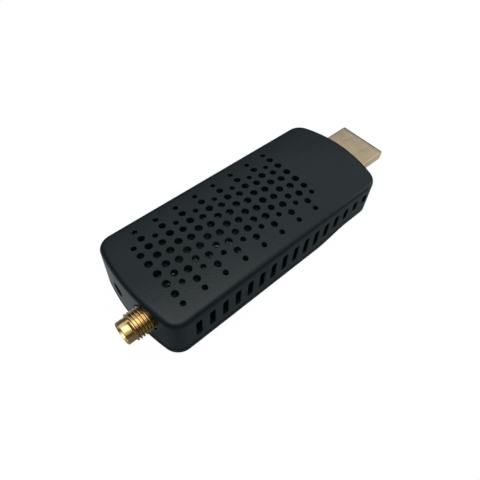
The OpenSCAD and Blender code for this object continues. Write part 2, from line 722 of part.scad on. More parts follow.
// Power port on the board's upper face
micro_sheet = 0.25;
micro_bevel = 0.8;
micro_base_l = 1.5;
micro_tongue_w = 3.7;
micro_tongue_t = 0.6;
micro_tongue_back = 0.7;
micro_contact_w = 0.35;
micro_contact_t = 0.12;
micro_pitch = 0.65;
micro_tail_l = 0.7;
micro_ear_w = 1.25;
micro_ear_l = 1.6;
function micro_outline(inset) = let (w = micro_w / 2 - inset, h = micro_h / 2 - inset)
    [[-w, h], [-w, micro_bevel - h], [micro_bevel - w, -h], [w - micro_bevel, -h],
     [w, micro_bevel - h], [w, h]];
module power_shell() place() color("#bfc2c4") {
    translate([micro_x, micro_mouth_y, micro_z]) inward_y(micro_l) difference() {
        polygon(micro_outline(0));
        polygon(micro_outline(micro_sheet));
    }
    for (side = [-1, 1])
        translate([micro_x + side * (micro_w + micro_ear_w - micro_sheet) / 2 - micro_ear_w / 2,
            micro_rear_y + micro_ear_l / 2, board_top])
            cube([micro_ear_w, micro_ear_l, micro_sheet]);
}
module micro_strips(grow) {
    for (i = [-2 : 2])
        translate([micro_x + i * micro_pitch - micro_contact_w / 2 - grow,
            micro_rear_y - micro_contact_t, micro_z - grow])
            cube([micro_contact_w + 2 * grow,
                micro_l - 2 * micro_tongue_back + micro_contact_t, micro_contact_t + 2 * grow]);
}
module power_insulator() place() color("#1f1f21") difference() {
    union() {
        translate([micro_x, micro_rear_y + micro_base_l, micro_z]) inward_y(micro_base_l)
            polygon(micro_outline(micro_sheet + press_gap));
        translate([micro_x - micro_tongue_w / 2, micro_rear_y, micro_z])
            cube([micro_tongue_w, micro_l - micro_tongue_back, micro_tongue_t]);
    }
    micro_strips(press_gap);
}
module power_contacts() place() color("#d8b25a") {
    micro_strips(0);
    for (i = [-2 : 2])
        translate([micro_x + i * micro_pitch - micro_contact_w / 2, micro_rear_y, board_top]) {
            translate([0, -micro_contact_t, 0])
                cube([micro_contact_w, micro_contact_t, micro_z - board_top + micro_contact_t]);
            translate([0, -micro_tail_l, 0]) cube([micro_contact_w, micro_tail_l, micro_contact_t]);
        }
}

// Chips with gull-wing leads
standoff = 0.1;
lead_t = 0.15;
module chip_body(w, l, h) { translate([0, 0, board_top + standoff]) block([w, l, h]); }
// A row of leads along +Y, on the side that faces +X, starting at the body's face
module lead_row(body_half, count, pitch, width, reach, mid_h) {
    knee = reach / 2;
    for (i = [0 : count - 1]) translate([body_half, (i - (count - 1) / 2) * pitch + width / 2, board_top])
        rotate([90, 0, 0]) linear_extrude(width) polygon([
            [0, mid_h], [knee - lead_t, mid_h], [knee - lead_t, 0], [reach, 0], [reach, lead_t],
            [knee, lead_t], [knee, mid_h + lead_t], [0, mid_h + lead_t]]);
}
decoder_shares = [0.529, -0.27];
decoder_lead_reach = 1;
decoder_lead_w = 0.22;
decoder_lead_pitch = 0.5;
decoder_lead_count = 20;
module decoder_chip() place() color("#202224") translate(spot(decoder_shares))
    chip_body(decoder_w, decoder_w, decoder_h);
module decoder_leads() place() color("#c2c4c6") translate(spot(decoder_shares))
    for (turn = [0 : 90 : 270]) rotate([0, 0, turn])
        lead_row(decoder_w / 2, decoder_lead_count, decoder_lead_pitch, decoder_lead_w,
            decoder_lead_reach, standoff + decoder_h / 2);
pad_t = 0.3;
pad_inset = 0.5;
module thermal_pad() place() color("#8f9aa8") translate(spot(decoder_shares))
    translate([0, 0, board_top + standoff + decoder_h])
        block([decoder_w - 2 * pad_inset, decoder_w - 2 * pad_inset, pad_t]);
sink_low = board_top + standoff + decoder_h + pad_t;
sink_edge = abs(spot(decoder_shares).y) + decoder_w / 2;
sink_h = crown_z(sink_edge) - top_t - sink_gap - sink_low;
sink_base_share = 0.45;
fin_count = 6;
fin_t = 0.9;
module heat_sink() place() color("#9da3a8") translate(spot(decoder_shares))
    translate([0, 0, sink_low]) {
        block([decoder_w, decoder_w, sink_h * sink_base_share]);
        for (i = [0 : fin_count - 1])
            translate([(i / (fin_count - 1) - 0.5) * (decoder_w - fin_t), 0, 0])
                block([fin_t, decoder_w, sink_h]);
    }

// Tuner under a two-piece screening can
can_sheet = 0.2;
can_skirt_share = 0.55;
can_gap = 0.05;
can_hole_r = 0.55;
can_hole_shares = [-0.6, -0.2, 0.2, 0.6];
can_edge = 0.6;
can_x = spot([-0.391, 0]).x;
can_y = -board_w / 2 + can_w / 2 + can_edge;
module can_ring(l, w, t, low, high) {
    translate([can_x, can_y, low]) difference() {
        block([l, w, high - low]);
        translate([0, 0, -cut]) block([l - 2 * t, w - 2 * t, high - low + 2 * cut]);
    }
}
module tuner_fence() place() color("#b4b7b9")
    can_ring(can_l - 2 * (can_sheet + can_gap), can_w - 2 * (can_sheet + can_gap), can_sheet,
        board_top, board_top + can_h - can_sheet);
module tuner_lid() place() color("#c4c6c8") {
    difference() {
        translate([can_x, can_y, board_top + can_h - can_sheet]) block([can_l, can_w, can_sheet]);
        for (a = can_hole_shares, b = can_hole_shares)
            translate([can_x + a * can_l / 2, can_y + b * can_w / 2, board_top])
                cylinder(r = can_hole_r, h = can_h + cut, $fn = 32);
    }
    can_ring(can_l, can_w, can_sheet, board_top + can_h * (1 - can_skirt_share),
        board_top + can_h - can_sheet / 2);
}
tuner_w = 5;
tuner_h = 0.85;
module tuner_chip() place() color("#232527") translate([can_x, can_y, board_top])
    block([tuner_w, tuner_w, tuner_h]);
crystal_l = 3.2;
crystal_w = 2.5;
crystal_h = 0.8;
crystal_rim = 0.25;
crystal_base_share = 0.6;
module crystal() {
    block([crystal_l, crystal_w, crystal_base_share * crystal_h]);
    block([crystal_l - 2 * crystal_rim, crystal_w - 2 * crystal_rim, crystal_h]);
}
module tuner_crystal() place() color("#cfcfca")
    translate([can_x + can_l / 3, can_y - can_w / 4, board_top]) crystal();
coil_l = 1.6;
coil_w = 0.8;
coil_h = 0.9;
coil_shares = [[-0.7, 0.1], [-0.7, -0.3], [-0.7, 0.5], [0.1, 0.72]];
module tuner_coils() place() color("#6d7f9c") for (s = coil_shares)
    translate([can_x + s.x * can_l / 2, can_y + s.y * can_w / 2, board_top]) block([coil_l, coil_w, coil_h]);

// Flash memory and the decoder's clock
flash_shares = [0.112, -0.69];
flash_l = 4.9;
flash_w = 3.9;
flash_h = 1.4;
flash_lead_reach = 1;
flash_lead_pitch = 1.27;
flash_lead_w = 0.4;
module flash_chip() place() color("#202224") translate(spot(flash_shares))
    chip_body(flash_l, flash_w, flash_h);
module flash_leads() place() color("#c2c4c6") translate(spot(flash_shares))
    for (turn = [90, 270]) rotate([0, 0, turn])
        lead_row(flash_w / 2, 4, flash_lead_pitch, flash_lead_w, flash_lead_reach, standoff + flash_h / 2);
main_crystal_shares = [0.8536, 0.42];
module main_crystal() place() color("#cfcfca")
    translate([spot(main_crystal_shares).x, spot(main_crystal_shares).y, board_top]) crystal();

// Supplies: two step-down regulators, each with its inductor
regulator_shares = [[-0.055, -0.178], [-0.426, 0.36]];
regulator_l = 2.9;
regulator_w = 1.6;
regulator_h = 1.0;
regulator_lead_pitch = 0.95;
regulator_lead_w = 0.4;
regulator_lead_reach = 0.6;
module regulators() place() color("#202224") for (s = regulator_shares)
    translate(spot(s)) chip_body(regulator_l, regulator_w, regulator_h);
module regulator_leads() place() color("#c2c4c6") for (s = regulator_shares)
    translate(spot(s)) for (turn = [90, 270]) rotate([0, 0, turn])
        lead_row(regulator_w / 2, 3, regulator_lead_pitch, regulator_lead_w, regulator_lead_reach,
            standoff + regulator_h / 2);
inductor_shares = [[0.112, -0.178], [-0.426, 0.76]];
inductor_w = 4;
inductor_h = 1.8;
inductor_foot_t = 0.15;
inductor_foot_w = 1;
module power_inductors() place() color("#54575a") for (s = inductor_shares)
    translate([spot(s).x, spot(s).y, board_top + inductor_foot_t])
        block([inductor_w, inductor_w, inductor_h]);
module inductor_terminals() place() color("#c2c4c6") for (s = inductor_shares, side = [-1, 1])
    translate([spot(s).x + side * (inductor_w - inductor_foot_w) / 2, spot(s).y, board_top])
        block([inductor_foot_w, inductor_w, inductor_foot_t]);
bulk_shares = [[-0.3, -0.45], [0.05, -0.45], [0.45, -0.45]];
bulk_l = 3.5;
bulk_w = 2.8;
bulk_h = 1.9;
bulk_foot_l = 0.8;
bulk_foot_t = 0.15;
module bulk_capacitors() place() color("#3b3a34") for (s = bulk_shares)
    translate([spot(s).x, spot(s).y, board_bottom - bulk_foot_t - bulk_h]) block([bulk_l, bulk_w, bulk_h]);
module bulk_terminals() place() color("#c2c4c6") for (s = bulk_shares, side = [-1, 1])
    translate([spot(s).x + side * (bulk_l - bulk_foot_l) / 2, spot(s).y, board_bottom - bulk_foot_t])
        block([bulk_foot_l, bulk_w - bulk_foot_l, bulk_foot_t]);

// Small passives, each a body between two tinned ends, on either face of the board
passive_l = 1.6;
passive_w = 0.8;
passive_end = 0.3;
ceramic_h = 0.8;
resistor_h = 0.5;
ceramic_top_shares = [for (x = [-0.79, -0.71], y = [-0.56, -0.42, -0.2, -0.08]) [x, y]];
ceramic_bottom_shares = [for (x = [-0.4, -0.2, 0, 0.2, 0.4, 0.6], y = [-0.78, -0.08]) [x, y]];
resistor_top_shares = [[-0.055, -0.42], [-0.055, -0.6], [-0.055, -0.78]];
resistor_bottom_shares = [for (x = [-0.3, -0.1, 0.1, 0.3, 0.5], y = [-0.78, -0.08]) [x, y]];
module passive_bodies(top_list, bottom_list, h) {
    size = [passive_l - 2 * passive_end, passive_w, h];
    for (s = top_list) translate([spot(s).x, spot(s).y, board_top]) block(size);
    for (s = bottom_list) translate([spot(s).x, spot(s).y, board_bottom - h]) block(size);
}
module passive_ends(top_list, bottom_list, h) {
    for (side = [-1, 1]) {
        shift = side * (passive_l - passive_end) / 2;
        for (s = top_list) translate([spot(s).x + shift, spot(s).y, board_top])
            block([passive_end, passive_w, h]);
        for (s = bottom_list) translate([spot(s).x + shift, spot(s).y, board_bottom - h])
            block([passive_end, passive_w, h]);
    }
}
module ceramic_capacitors() place() color("#a58a63")
    passive_bodies(ceramic_top_shares, ceramic_bottom_shares, ceramic_h);
module chip_resistors() place() color("#1e1f21")
    passive_bodies(resistor_top_shares, resistor_bottom_shares, resistor_h);
module chip_terminals() place() color("#c2c4c6") {
    passive_ends(ceramic_top_shares, ceramic_bottom_shares, ceramic_h);
    passive_ends(resistor_top_shares, resistor_bottom_shares, resistor_h);
}
surge_shares = [[0.868, -0.05], [0.868, -0.38]];
surge_l = 1;
surge_w = 2.5;
surge_h = 0.55;
module surge_arrays() place() color("#232527") for (s = surge_shares)
    translate([spot(s).x, spot(s).y, board_top]) block([surge_l, surge_w, surge_h]);
light_shares = [0.8536, 0.66];
light_h = 0.6;
module status_light() place() color("#e8ecd8")
    translate([spot(light_shares).x, spot(light_shares).y, board_top]) block([passive_l, passive_w, light_h]);

top_cover();
bottom_cover();
rating_label();
main_board();
board_screws();
hdmi_shell();
hdmi_insulator();
hdmi_contacts();
antenna_body();
antenna_insulator();
antenna_contact();
jack_body();
jack_springs();
usb_shell();
usb_insulator();
usb_contacts();
power_shell();
power_insulator();
power_contacts();
decoder_chip();
decoder_leads();
thermal_pad();
heat_sink();
tuner_fence();
tuner_lid();
tuner_chip();
tuner_crystal();
tuner_coils();
flash_chip();
flash_leads();
main_crystal();
regulators();
regulator_leads();
power_inductors();
inductor_terminals();
bulk_capacitors();
bulk_terminals();
ceramic_capacitors();
chip_resistors();
chip_terminals();
surge_arrays();
status_light();
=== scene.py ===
import math

import bmesh
import bpy
from mathutils import Matrix, Vector


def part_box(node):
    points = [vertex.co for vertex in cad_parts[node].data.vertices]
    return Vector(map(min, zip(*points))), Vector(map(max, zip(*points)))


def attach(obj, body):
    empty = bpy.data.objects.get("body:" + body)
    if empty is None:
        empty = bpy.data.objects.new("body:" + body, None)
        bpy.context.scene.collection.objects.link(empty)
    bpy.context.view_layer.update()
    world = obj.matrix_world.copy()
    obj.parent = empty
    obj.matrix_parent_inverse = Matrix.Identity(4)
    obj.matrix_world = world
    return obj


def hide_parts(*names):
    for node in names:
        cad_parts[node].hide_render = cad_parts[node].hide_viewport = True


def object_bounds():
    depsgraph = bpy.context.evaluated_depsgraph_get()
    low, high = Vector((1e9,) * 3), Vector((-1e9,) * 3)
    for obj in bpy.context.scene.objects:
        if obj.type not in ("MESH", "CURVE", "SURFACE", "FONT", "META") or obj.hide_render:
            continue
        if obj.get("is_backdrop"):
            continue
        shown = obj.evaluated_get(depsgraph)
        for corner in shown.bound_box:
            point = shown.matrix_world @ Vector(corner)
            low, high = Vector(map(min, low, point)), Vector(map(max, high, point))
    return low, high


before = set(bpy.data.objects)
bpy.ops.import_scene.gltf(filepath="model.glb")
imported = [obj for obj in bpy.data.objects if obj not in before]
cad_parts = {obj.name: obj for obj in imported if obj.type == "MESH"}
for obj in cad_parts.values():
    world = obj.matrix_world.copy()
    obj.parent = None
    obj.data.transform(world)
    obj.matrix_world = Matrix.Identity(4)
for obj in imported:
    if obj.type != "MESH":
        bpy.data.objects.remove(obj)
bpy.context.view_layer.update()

MM = 0.001

# Camera
# The photograph is a close view from above the antenna end, so the lens is fairly wide
# and the case tapers with distance. The frame is square.
photo_lens = 33.796
camera_data = bpy.data.cameras.new("camera")
camera_data.sensor_width = 36
camera_data.lens = photo_lens
camera_data.clip_start = 0.002
camera_data.clip_end = 20
camera = bpy.data.objects.new("camera", camera_data)
bpy.context.scene.collection.objects.link(camera)
right = Vector((0.73961, -0.67108, 0.05126))
down = Vector((-0.51174, -0.6102, -0.6048))
forward = Vector((0.43715, 0.42108, -0.79473))
camera.matrix_world = Matrix((
    (right.x, -down.x, -forward.x, -54.86 * MM),
    (right.y, -down.y, -forward.y, -48.45 * MM),
    (right.z, -down.z, -forward.z, 92.91 * MM),
    (0, 0, 0, 1)))
bpy.context.scene.camera = camera
bpy.context.scene.view_settings.view_transform = "Standard"


# Stage and light
# A white sweep under a large soft lamp, as for a catalogue picture. The room is brightest
# overhead and dim along its walls, which draws the case's dark edges and the gold's contrast.
def linear(code):
    channels = [int(code[i:i + 2], 16) / 255 for i in (1, 3, 5)]
    return [c / 12.92 if c <= 0.04045 else ((c + 0.055) / 1.055) ** 2.4 for c in channels] + [1]


def add(tree, kind, links=(), **settings):
    """A node with its settings. Links give an input, by name or number, an output or a value."""
    made = tree.nodes.new("ShaderNode" + kind)
    for key, value in settings.items():
        if hasattr(made, key):
            setattr(made, key, value)
        else:
            made.inputs[key.replace("_", " ")].default_value = value
    for socket, source in dict(links).items():
        if isinstance(source, bpy.types.NodeSocket):
            tree.links.new(source, made.inputs[socket])
        else:
            made.inputs[socket].default_value = source
    return made


def empty_material(name):
    material = bpy.data.materials.new(name)
    material.use_nodes = True
    material.node_tree.nodes.clear()
    return material, material.node_tree


def white_share(tree, seen_share, mirrored_share):
    """How white a ray finds a surface, with one share for camera rays and one for mirrored."""
    path = add(tree, "LightPath").outputs
    seen = add(tree, "Math", {0: path["Is Camera Ray"], 1: path["Is Transmission Ray"]},
               operation="MAXIMUM")
    shown = add(tree, "Math", {0: seen.outputs[0], 1: seen_share}, operation="MULTIPLY")
    mirrored = add(tree, "Math", {0: path["Is Glossy Ray"], 1: mirrored_share},
                   operation="MULTIPLY")
    whiter = add(tree, "Math", {0: shown.outputs[0], 1: mirrored.outputs[0]}, operation="MAXIMUM")
    return whiter.outputs[0]


# Grey-blue paper in the light of the lamps, bleached to white where the camera looks at it
sweep_paper, tree = empty_material("white paper sweep")
paper = add(tree, "BsdfDiffuse", Color=linear("#6c777c"))
glow = add(tree, "Emission", Color=linear("#ffffff"), Strength=1.05)
sweep_seen_share = 0.94
# Two round spots of the sweep beyond the two ends glow white for mirrored rays only: painted
# reflections, with no card or lamp there. The plug's side and the antenna end mirror them, and the
# long sides stay dark. Each has its centre, radii and share of white
bare_share = 0.04
painted_reflection_spots = [((58 * MM, 0, 0), 22 * MM, 27 * MM, 0.62),
         ((-46 * MM, 9 * MM, 0), 14 * MM, 18 * MM, 0.25)]
place = add(tree, "TexCoord").outputs["Object"]
spot_glow_shares = []
# Painted reflection: each spot's glow for mirrored rays, fading to the bare share past its outer
# radius
for centre, inner, outer, spot_glow_share in painted_reflection_spots:
    reach = add(tree, "VectorMath", {0: place, 1: centre}, operation="DISTANCE")
    spot_glow = add(tree, "MapRange", {"Value": reach.outputs["Value"]},
               interpolation_type="SMOOTHSTEP", From_Min=inner, From_Max=outer,
               To_Min=spot_glow_share, To_Max=bare_share)
    spot_glow_shares.append(spot_glow.outputs[0])
# The brightest painted reflection spot at each point of the sweep
any_spot_glow = add(tree, "Math", {0: spot_glow_shares[0], 1: spot_glow_shares[1]}, operation="MAXIMUM")
mixed = add(tree, "MixShader", {0: white_share(tree, sweep_seen_share, any_spot_glow.outputs[0]),
                                1: paper.outputs[0], 2: glow.outputs[0]})
add(tree, "OutputMaterial", {0: mixed.outputs[0]})

sweep_half = 1.5
sweep_drop = 0.02 * MM
sheet = bmesh.new()
bmesh.ops.create_grid(sheet, x_segments=1, y_segments=1, size=sweep_half)
bmesh.ops.translate(sheet, verts=sheet.verts, vec=(0, 0, -sweep_drop))
sweep_mesh = bpy.data.meshes.new("sweep")
sheet.to_mesh(sweep_mesh)
sheet.free()
sweep = bpy.data.objects.new("sweep", sweep_mesh)
sweep_mesh.materials.append(sweep_paper)
bpy.context.scene.collection.objects.link(sweep)
sweep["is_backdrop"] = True

world = bpy.data.worlds.new("studio")
bpy.context.scene.world = world
world.use_nodes = True
tree = world.node_tree
tree.nodes.clear()
# The room's brightness by height: dim along its walls, bright overhead
up = add(tree, "SeparateXYZ", {0: add(tree, "TexCoord").outputs["Generated"]})
brightness = add(tree, "MapRange", {"Value": up.outputs["Z"]}, interpolation_type="SMOOTHSTEP",
                 From_Min=0.4, From_Max=0.65, To_Min=0.08, To_Max=0.93)
room = add(tree, "Background", {"Strength": brightness.outputs[0]}, Color=linear("#ffffff"))
white = add(tree, "Background", Color=linear("#ffffff"), Strength=1.0)
room_mirrored_share = 0.03
mixed = add(tree, "MixShader", {0: white_share(tree, 1.0, room_mirrored_share),
                                1: room.outputs[0], 2: white.outputs[0]})
add(tree, "OutputWorld", {0: mixed.outputs[0]})


def softbox(name, place, target, width, height, watts):
    data = bpy.data.lights.new(name, "AREA")
    data.shape = "RECTANGLE"
    data.size = width
    data.size_y = height
    data.energy = watts
    lamp = bpy.data.objects.new(name, data)
    aim = Vector(target) - Vector(place)
    turn = aim.to_track_quat("-Z", "Y").to_matrix().to_4x4()
    lamp.matrix_world = Matrix.Translation(place) @ turn
    lamp.visible_camera = False
    bpy.context.scene.collection.objects.link(lamp)


softbox("overhead softbox", place=(-0.05, -0.12, 0.8), target=(0, 0, 0),
        width=0.7, height=0.7, watts=2.6)
# Two small low lamps draw a line of light along the folds and edges of the near side
softbox("fill by the plug", place=(0.094, -0.059, 0.033), target=(0.037, -0.007, 0.009),
        width=0.05, height=0.06, watts=0.01)
softbox("strip along the near side", place=(0.07, -0.12, 0.058), target=(0, -0.01, 0.01),
        width=0.14, height=0.04, watts=0.007)


# Top cover
# One injection moulding in black ABS with a fine spark-eroded texture. Its top is crowned
# across, its ends are bowed, and a grid of round holes and upright slots lets air through.
top_low, top_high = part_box("top_cover")
case_x = (top_low.x + top_high.x) / 2
half_l = (top_high.x - top_low.x) / 2
half_w = (top_high.y - top_low.y) / 2
case_h = top_high.z
corner_r = 4.0 * MM
edge_r = 1.4 * MM
end_bow = 2.1 * MM
crown_drop = 1.4 * MM
wall_t = 1.5 * MM
top_t = 1.4 * MM
split_h = 1.8 * MM
rise_start = half_l - 22.6 * MM
rise_l = 12 * MM
rise_h = 1.95 * MM
tail_h = 0.25 * MM
end_r = (half_w ** 2 + end_bow ** 2) / (2 * end_bow)
crown_r = (half_w ** 2 + crown_drop ** 2) / (2 * crown_drop)
end_x = half_l - end_r
corner_turn = math.asin((half_w - corner_r) / (end_r - corner_r))
corner_x = end_x + (end_r - corner_r) * math.cos(corner_turn)
quarter = math.pi / 2

# The outline in order, each piece an arc (centre, radius, angles, steps) or a line
outline_parts = [
    ((-corner_x, half_w - corner_r), corner_r, quarter, math.pi - corner_turn, 14),
    ((-end_x, 0), end_r, math.pi - corner_turn, math.pi + corner_turn, 22),
    ((-corner_x, corner_r - half_w), corner_r, math.pi + corner_turn, 3 * quarter, 14),
    ((-corner_x, -half_w), (corner_x, -half_w)),
    ((corner_x, corner_r - half_w), corner_r, -quarter, -corner_turn, 14),
    ((end_x, 0), end_r, -corner_turn, corner_turn, 22),
    ((corner_x, half_w - corner_r), corner_r, corner_turn, quarter, 14),
    ((corner_x, half_w), (-corner_x, half_w)),
]
part_lengths = [
    p[1] * abs(p[3] - p[2]) if len(p) == 5 else math.dist(p[0], p[1]) for p in outline_parts]
outline_l = sum(part_lengths)


def outline(s):
    """Point and outward direction at a distance along the case's outline."""
    s = s % outline_l if s > outline_l else s
    for part, length in zip(outline_parts, part_lengths):
        if s <= length + 1e-9:
            break
        s -= length
    if len(part) == 5:
        centre, radius, start, end, steps = part
        angle = start + (end - start) * s / length
        direction = Vector((math.cos(angle), math.sin(angle), 0))
        return Vector((*centre, 0)) + direction * radius, direction
    a, b = Vector((*part[0], 0)), Vector((*part[1], 0))
    along = (b - a).normalized()
    return a + along * s, Vector((along.y, -along.x, 0))


bend_stations = []
run = 0
for part, length in zip(outline_parts, part_lengths):
    steps = part[4] if len(part) == 5 else 1
    bend_stations += [run + length * i / steps for i in range(steps)]
    run += length


def crown(y):
    return case_h - crown_r + math.sqrt(crown_r ** 2 - y ** 2)


def rise(x):
    t = min(max((x - rise_start) / rise_l, 0), 1)
    tail = max((x - rise_start - rise_l) / (half_l - rise_start - rise_l), 0)
    return rise_h * (1 - math.cos(math.pi * t)) / 2 + tail_h * tail


def edge_start(s):
    """How steeply the crown meets the outline, and the height where the edge radius begins."""
    point, direction = outline(s)
    tilt = math.atan(abs(direction.y) * abs(point.y) / crown_r)
    inset = edge_r * (1 - math.sin(tilt))
    rim = point - direction * inset
    return tilt, crown(rim.y) - edge_r * math.cos(tilt)


def circle_points(centre, radius, steps):
    return [(centre[0] + radius * math.cos(math.tau * i / steps),
             centre[1] + radius * math.sin(math.tau * i / steps)) for i in range(steps)]


def slot_points(low, high, radius, steps=3):
    """A rectangle with rounded corners, counter-clockwise."""
    corners = [(high[0] - radius, low[1] + radius, -1), (high[0] - radius, high[1] - radius, 0),
               (low[0] + radius, high[1] - radius, 1), (low[0] + radius, low[1] + radius, 2)]
    return [(x + radius * math.cos(quarter * (turn + i / steps)),
             y + radius * math.sin(quarter * (turn + i / steps)))
            for x, y, turn in corners for i in range(steps + 1)]


def only(geom, kind):
    return [g for g in geom if isinstance(g, kind)]


def fill(bm, edges):
    before = set(bm.faces)
    bmesh.ops.triangle_fill(bm, use_beauty=True, use_dissolve=False, edges=edges, normal=(0, 0, 1))
    return [f for f in bm.faces if f not in before]


def score(bm, faces, axis, values):
    """Cuts flat faces at these values of x (0) or y (1), so that they can bend there."""
    normal = Vector((1, 0, 0)) if axis == 0 else Vector((0, 1, 0))
    for value in values:
        faces = [f for f in faces if f.is_valid]
        lows = [min(v.co[axis] for v in f.verts) for f in faces]
        highs = [max(v.co[axis] for v in f.verts) for f in faces]
        hit = [f for f, a, b in zip(faces, lows, highs)
               if a < value + 1e-7 and b > value - 1e-7]
        geom = (hit + list({e for f in hit for e in f.edges})
                + list({v for f in hit for v in f.verts}))
        cut = bmesh.ops.bisect_plane(
            bm, geom=geom, dist=1e-7, plane_co=normal * value, plane_no=normal)
        known = set(faces)
        faces += [f for f in only(cut["geom"], bmesh.types.BMFace) if f not in known]
    return [f for f in faces if f.is_valid]


def finished(bm, name, sharp=32):
    """Joins the bmesh's doubles, turns its faces outwards and makes it an object."""
    bmesh.ops.remove_doubles(bm, verts=bm.verts, dist=2e-6)
    bmesh.ops.dissolve_degenerate(bm, dist=1e-7, edges=bm.edges)
    bmesh.ops.recalc_face_normals(bm, faces=bm.faces)
    for face in bm.faces:
        face.smooth = True
    for edge in bm.edges:
        edge.smooth = (len(edge.link_faces) == 2
                       and edge.calc_face_angle(0) < math.radians(sharp))
    mesh = bpy.data.meshes.new(name)
    bm.to_mesh(mesh)
    bm.free()
    made = bpy.data.objects.new(name, mesh)
    bpy.context.scene.collection.objects.link(made)
    return made


# Where things sit along the flattened wall
def near_s(x):
    return sum(part_lengths[:3]) + corner_x + x


def far_s(x):
    return sum(part_lengths[:7]) + corner_x - x


def antenna_end_s(y):
    return part_lengths[0] + (corner_turn - math.asin(y / end_r)) * end_r


def plug_end_s(y):
    return sum(part_lengths[:5]) + (corner_turn + math.asin(y / end_r)) * end_r


hole_break = 0.05 * MM
slot_break = 0.15 * MM
edge_break = 0.22 * MM
joint_gap = 0.1 * MM
slot_w = 1.5 * MM
slot_z = 3.9 * MM
slot_h = 5.5 * MM
slot_corner = 0.45 * MM
slot_count = 16
slot_first = 8.0 * MM
slot_pitch = 3.64 * MM
slot_climb = 0.16
# The ports' holes, each as its width, height and corner radius
usb_hole = (13.4 * MM, 6.0 * MM, 0.5 * MM)
power_hole = (7.8 * MM, 2.9 * MM, 0.4 * MM)
port_margin = 1.45 * MM
antenna_hole_r = 3.425 * MM
jack_hole_r = 1.8 * MM


def middle(node):
    low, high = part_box(node)
    return (low + high) / 2


board_mid = middle("main_board")
antenna_mid = middle("antenna_insulator")
jack_mid = middle("jack_body")
usb_mid = middle("usb_insulator")
power_mid = middle("power_shell")


def window(x, z, width, height, corner):
    half_w, half_h = width / 2, height / 2
    return slot_points((x - half_w, z - half_h), (x + half_w, z + half_h), corner)


# The far side has slots only where they clear the two ports
wall_holes = []
for i in range(slot_count):
    x = slot_first + slot_pitch * i - half_l
    low = slot_z + slot_climb * max(0, x - rise_start + slot_pitch / 2)
    tall = slot_z + slot_h - low
    wall_holes.append(window(near_s(x), low + tall / 2, slot_w, tall, slot_corner))
    if all(abs(x + case_x - mid.x) > hole[0] / 2 + port_margin
           for mid, hole in ((usb_mid, usb_hole), (power_mid, power_hole))):
        wall_holes.append(window(far_s(x), low + tall / 2, slot_w, tall, slot_corner))
wall_holes += [
    window(far_s(usb_mid.x - case_x), usb_mid.z, *usb_hole),
    window(far_s(power_mid.x - case_x), power_mid.z, *power_hole),
    circle_points((antenna_end_s(antenna_mid.y), antenna_mid.z), antenna_hole_r, 48),
    circle_points((antenna_end_s(jack_mid.y), jack_mid.z), jack_hole_r, 32)]


class Layers:
    """What each vert of a laid-out sheet remembers: its place, its inner edge's, its depth."""

    def __init__(self, bm):
        for key in ("patch", "u", "v", "inner_u", "inner_v", "depth"):
            setattr(self, key, bm.verts.layers.float.new(key))

    def put(self, vert, patch, place, inner=None):
        inner = inner or place
        for layer, value in zip((self.patch, self.u, self.v, self.inner_u, self.inner_v),
                                (patch, *place, *inner)):
            vert[layer] = value


def ring(bm, layers, patch, points, inner, height=None):
    """A closed loop of edges, laid flat or at a height, which remembers its inner edge."""
    verts = []
    for place, within in zip(points, inner):
        vert = bm.verts.new((*place, height(place[1]) if height else 0))
        layers.put(vert, patch, place, within)
        verts.append(vert)
    return [bm.edges.new((verts[i - 1], verts[i])) for i in range(len(verts))]


def grown(points, amount):
    """A counter-clockwise loop moved outwards, for the outer edge of a broken rim."""
    out = []
    for i, point in enumerate(points):
        before, here = Vector(points[i - 1]), Vector(point)
        after = Vector(points[(i + 1) % len(points)])
        way = ((here - before).normalized() + (after - here).normalized()).normalized()
        out.append((here.x + way.y * amount, here.y - way.x * amount))
    return out


def thicken(bm, layers, place):
    """Gives a laid-out sheet its thickness and broken rims, and wraps it into its shape."""
    inside = {v for v in bm.verts if not any(len(e.link_faces) == 1 for e in v.link_edges)}
    for vert in inside:
        layers.put(vert, vert[layers.patch], (vert[layers.u], vert[layers.v]))
    for vert in bm.verts:
        vert[layers.depth] = 0
    out = bmesh.ops.extrude_face_region(
        bm, geom=bm.faces[:] + bm.edges[:] + bm.verts[:], use_keep_orig=True)
    for vert in only(out["geom"], bmesh.types.BMVert):
        vert[layers.depth] = 1
    sides = [e for e in bm.edges if e.verts[0][layers.depth] != e.verts[1][layers.depth]]
    bmesh.ops.subdivide_edges(bm, edges=sides, cuts=1, use_grid_fill=True)
    for vert in bm.verts:
        deep = vert[layers.depth] > 0.25
        u, v = (layers.inner_u, layers.inner_v) if deep else (layers.u, layers.v)
        depth = round(vert[layers.depth] * 2) / 2
        vert.co = place(round(vert[layers.patch]), vert[u], vert[v], depth)


WALL, EDGE, TOP = 0, 1, 2
edge_rings = 7


def cover_place(patch, u, v, depth):
    """Depth 0 is the outside, a half the inner edge of a broken rim, 1 the inside."""
    if patch == TOP:
        sunk = (0, hole_break, top_t)[round(depth * 2)]
        return Vector((case_x + u, v, crown(v) - sunk))
    point, way = outline(u)
    if patch == WALL:
        inset, z = (0, slot_break, wall_t)[round(depth * 2)], v
    else:
        tilt, start = edge_start(u)
        turn = (quarter - tilt) * v
        inset, z = edge_r * (1 - math.cos(turn)), start + edge_r * math.sin(turn)
        if depth:
            inset, z = wall_t, start
    at = point - way * inset
    return Vector((case_x + at.x, at.y, z))


ramp_xs = [rise_start + rise_l * i / 24 for i in range(25)]


def wall_stations(ends):
    """Where a wall is cut: at each bend, at two ends, and along the ramp on both long sides."""
    ramp = [side(x) for x in ramp_xs for side in (near_s, far_s)]
    return sorted(bend_stations + [outline_l] + ends + ramp)


def stepped_run(stations, level, ends, top):
    """A wall's edge at a level above the underside, and at one height between two ends."""
    low = [(s, level + rise(outline(s)[0].x)) for s in stations
           if not ends[0] + 1e-9 < s < ends[1] - 1e-9]
    high = [(s, top) for s in stations if ends[0] - 1e-9 < s < ends[1] + 1e-9]
    at = [s for s, z in low].index(ends[0]) + 1
    return low[:at] + high + low[at:]


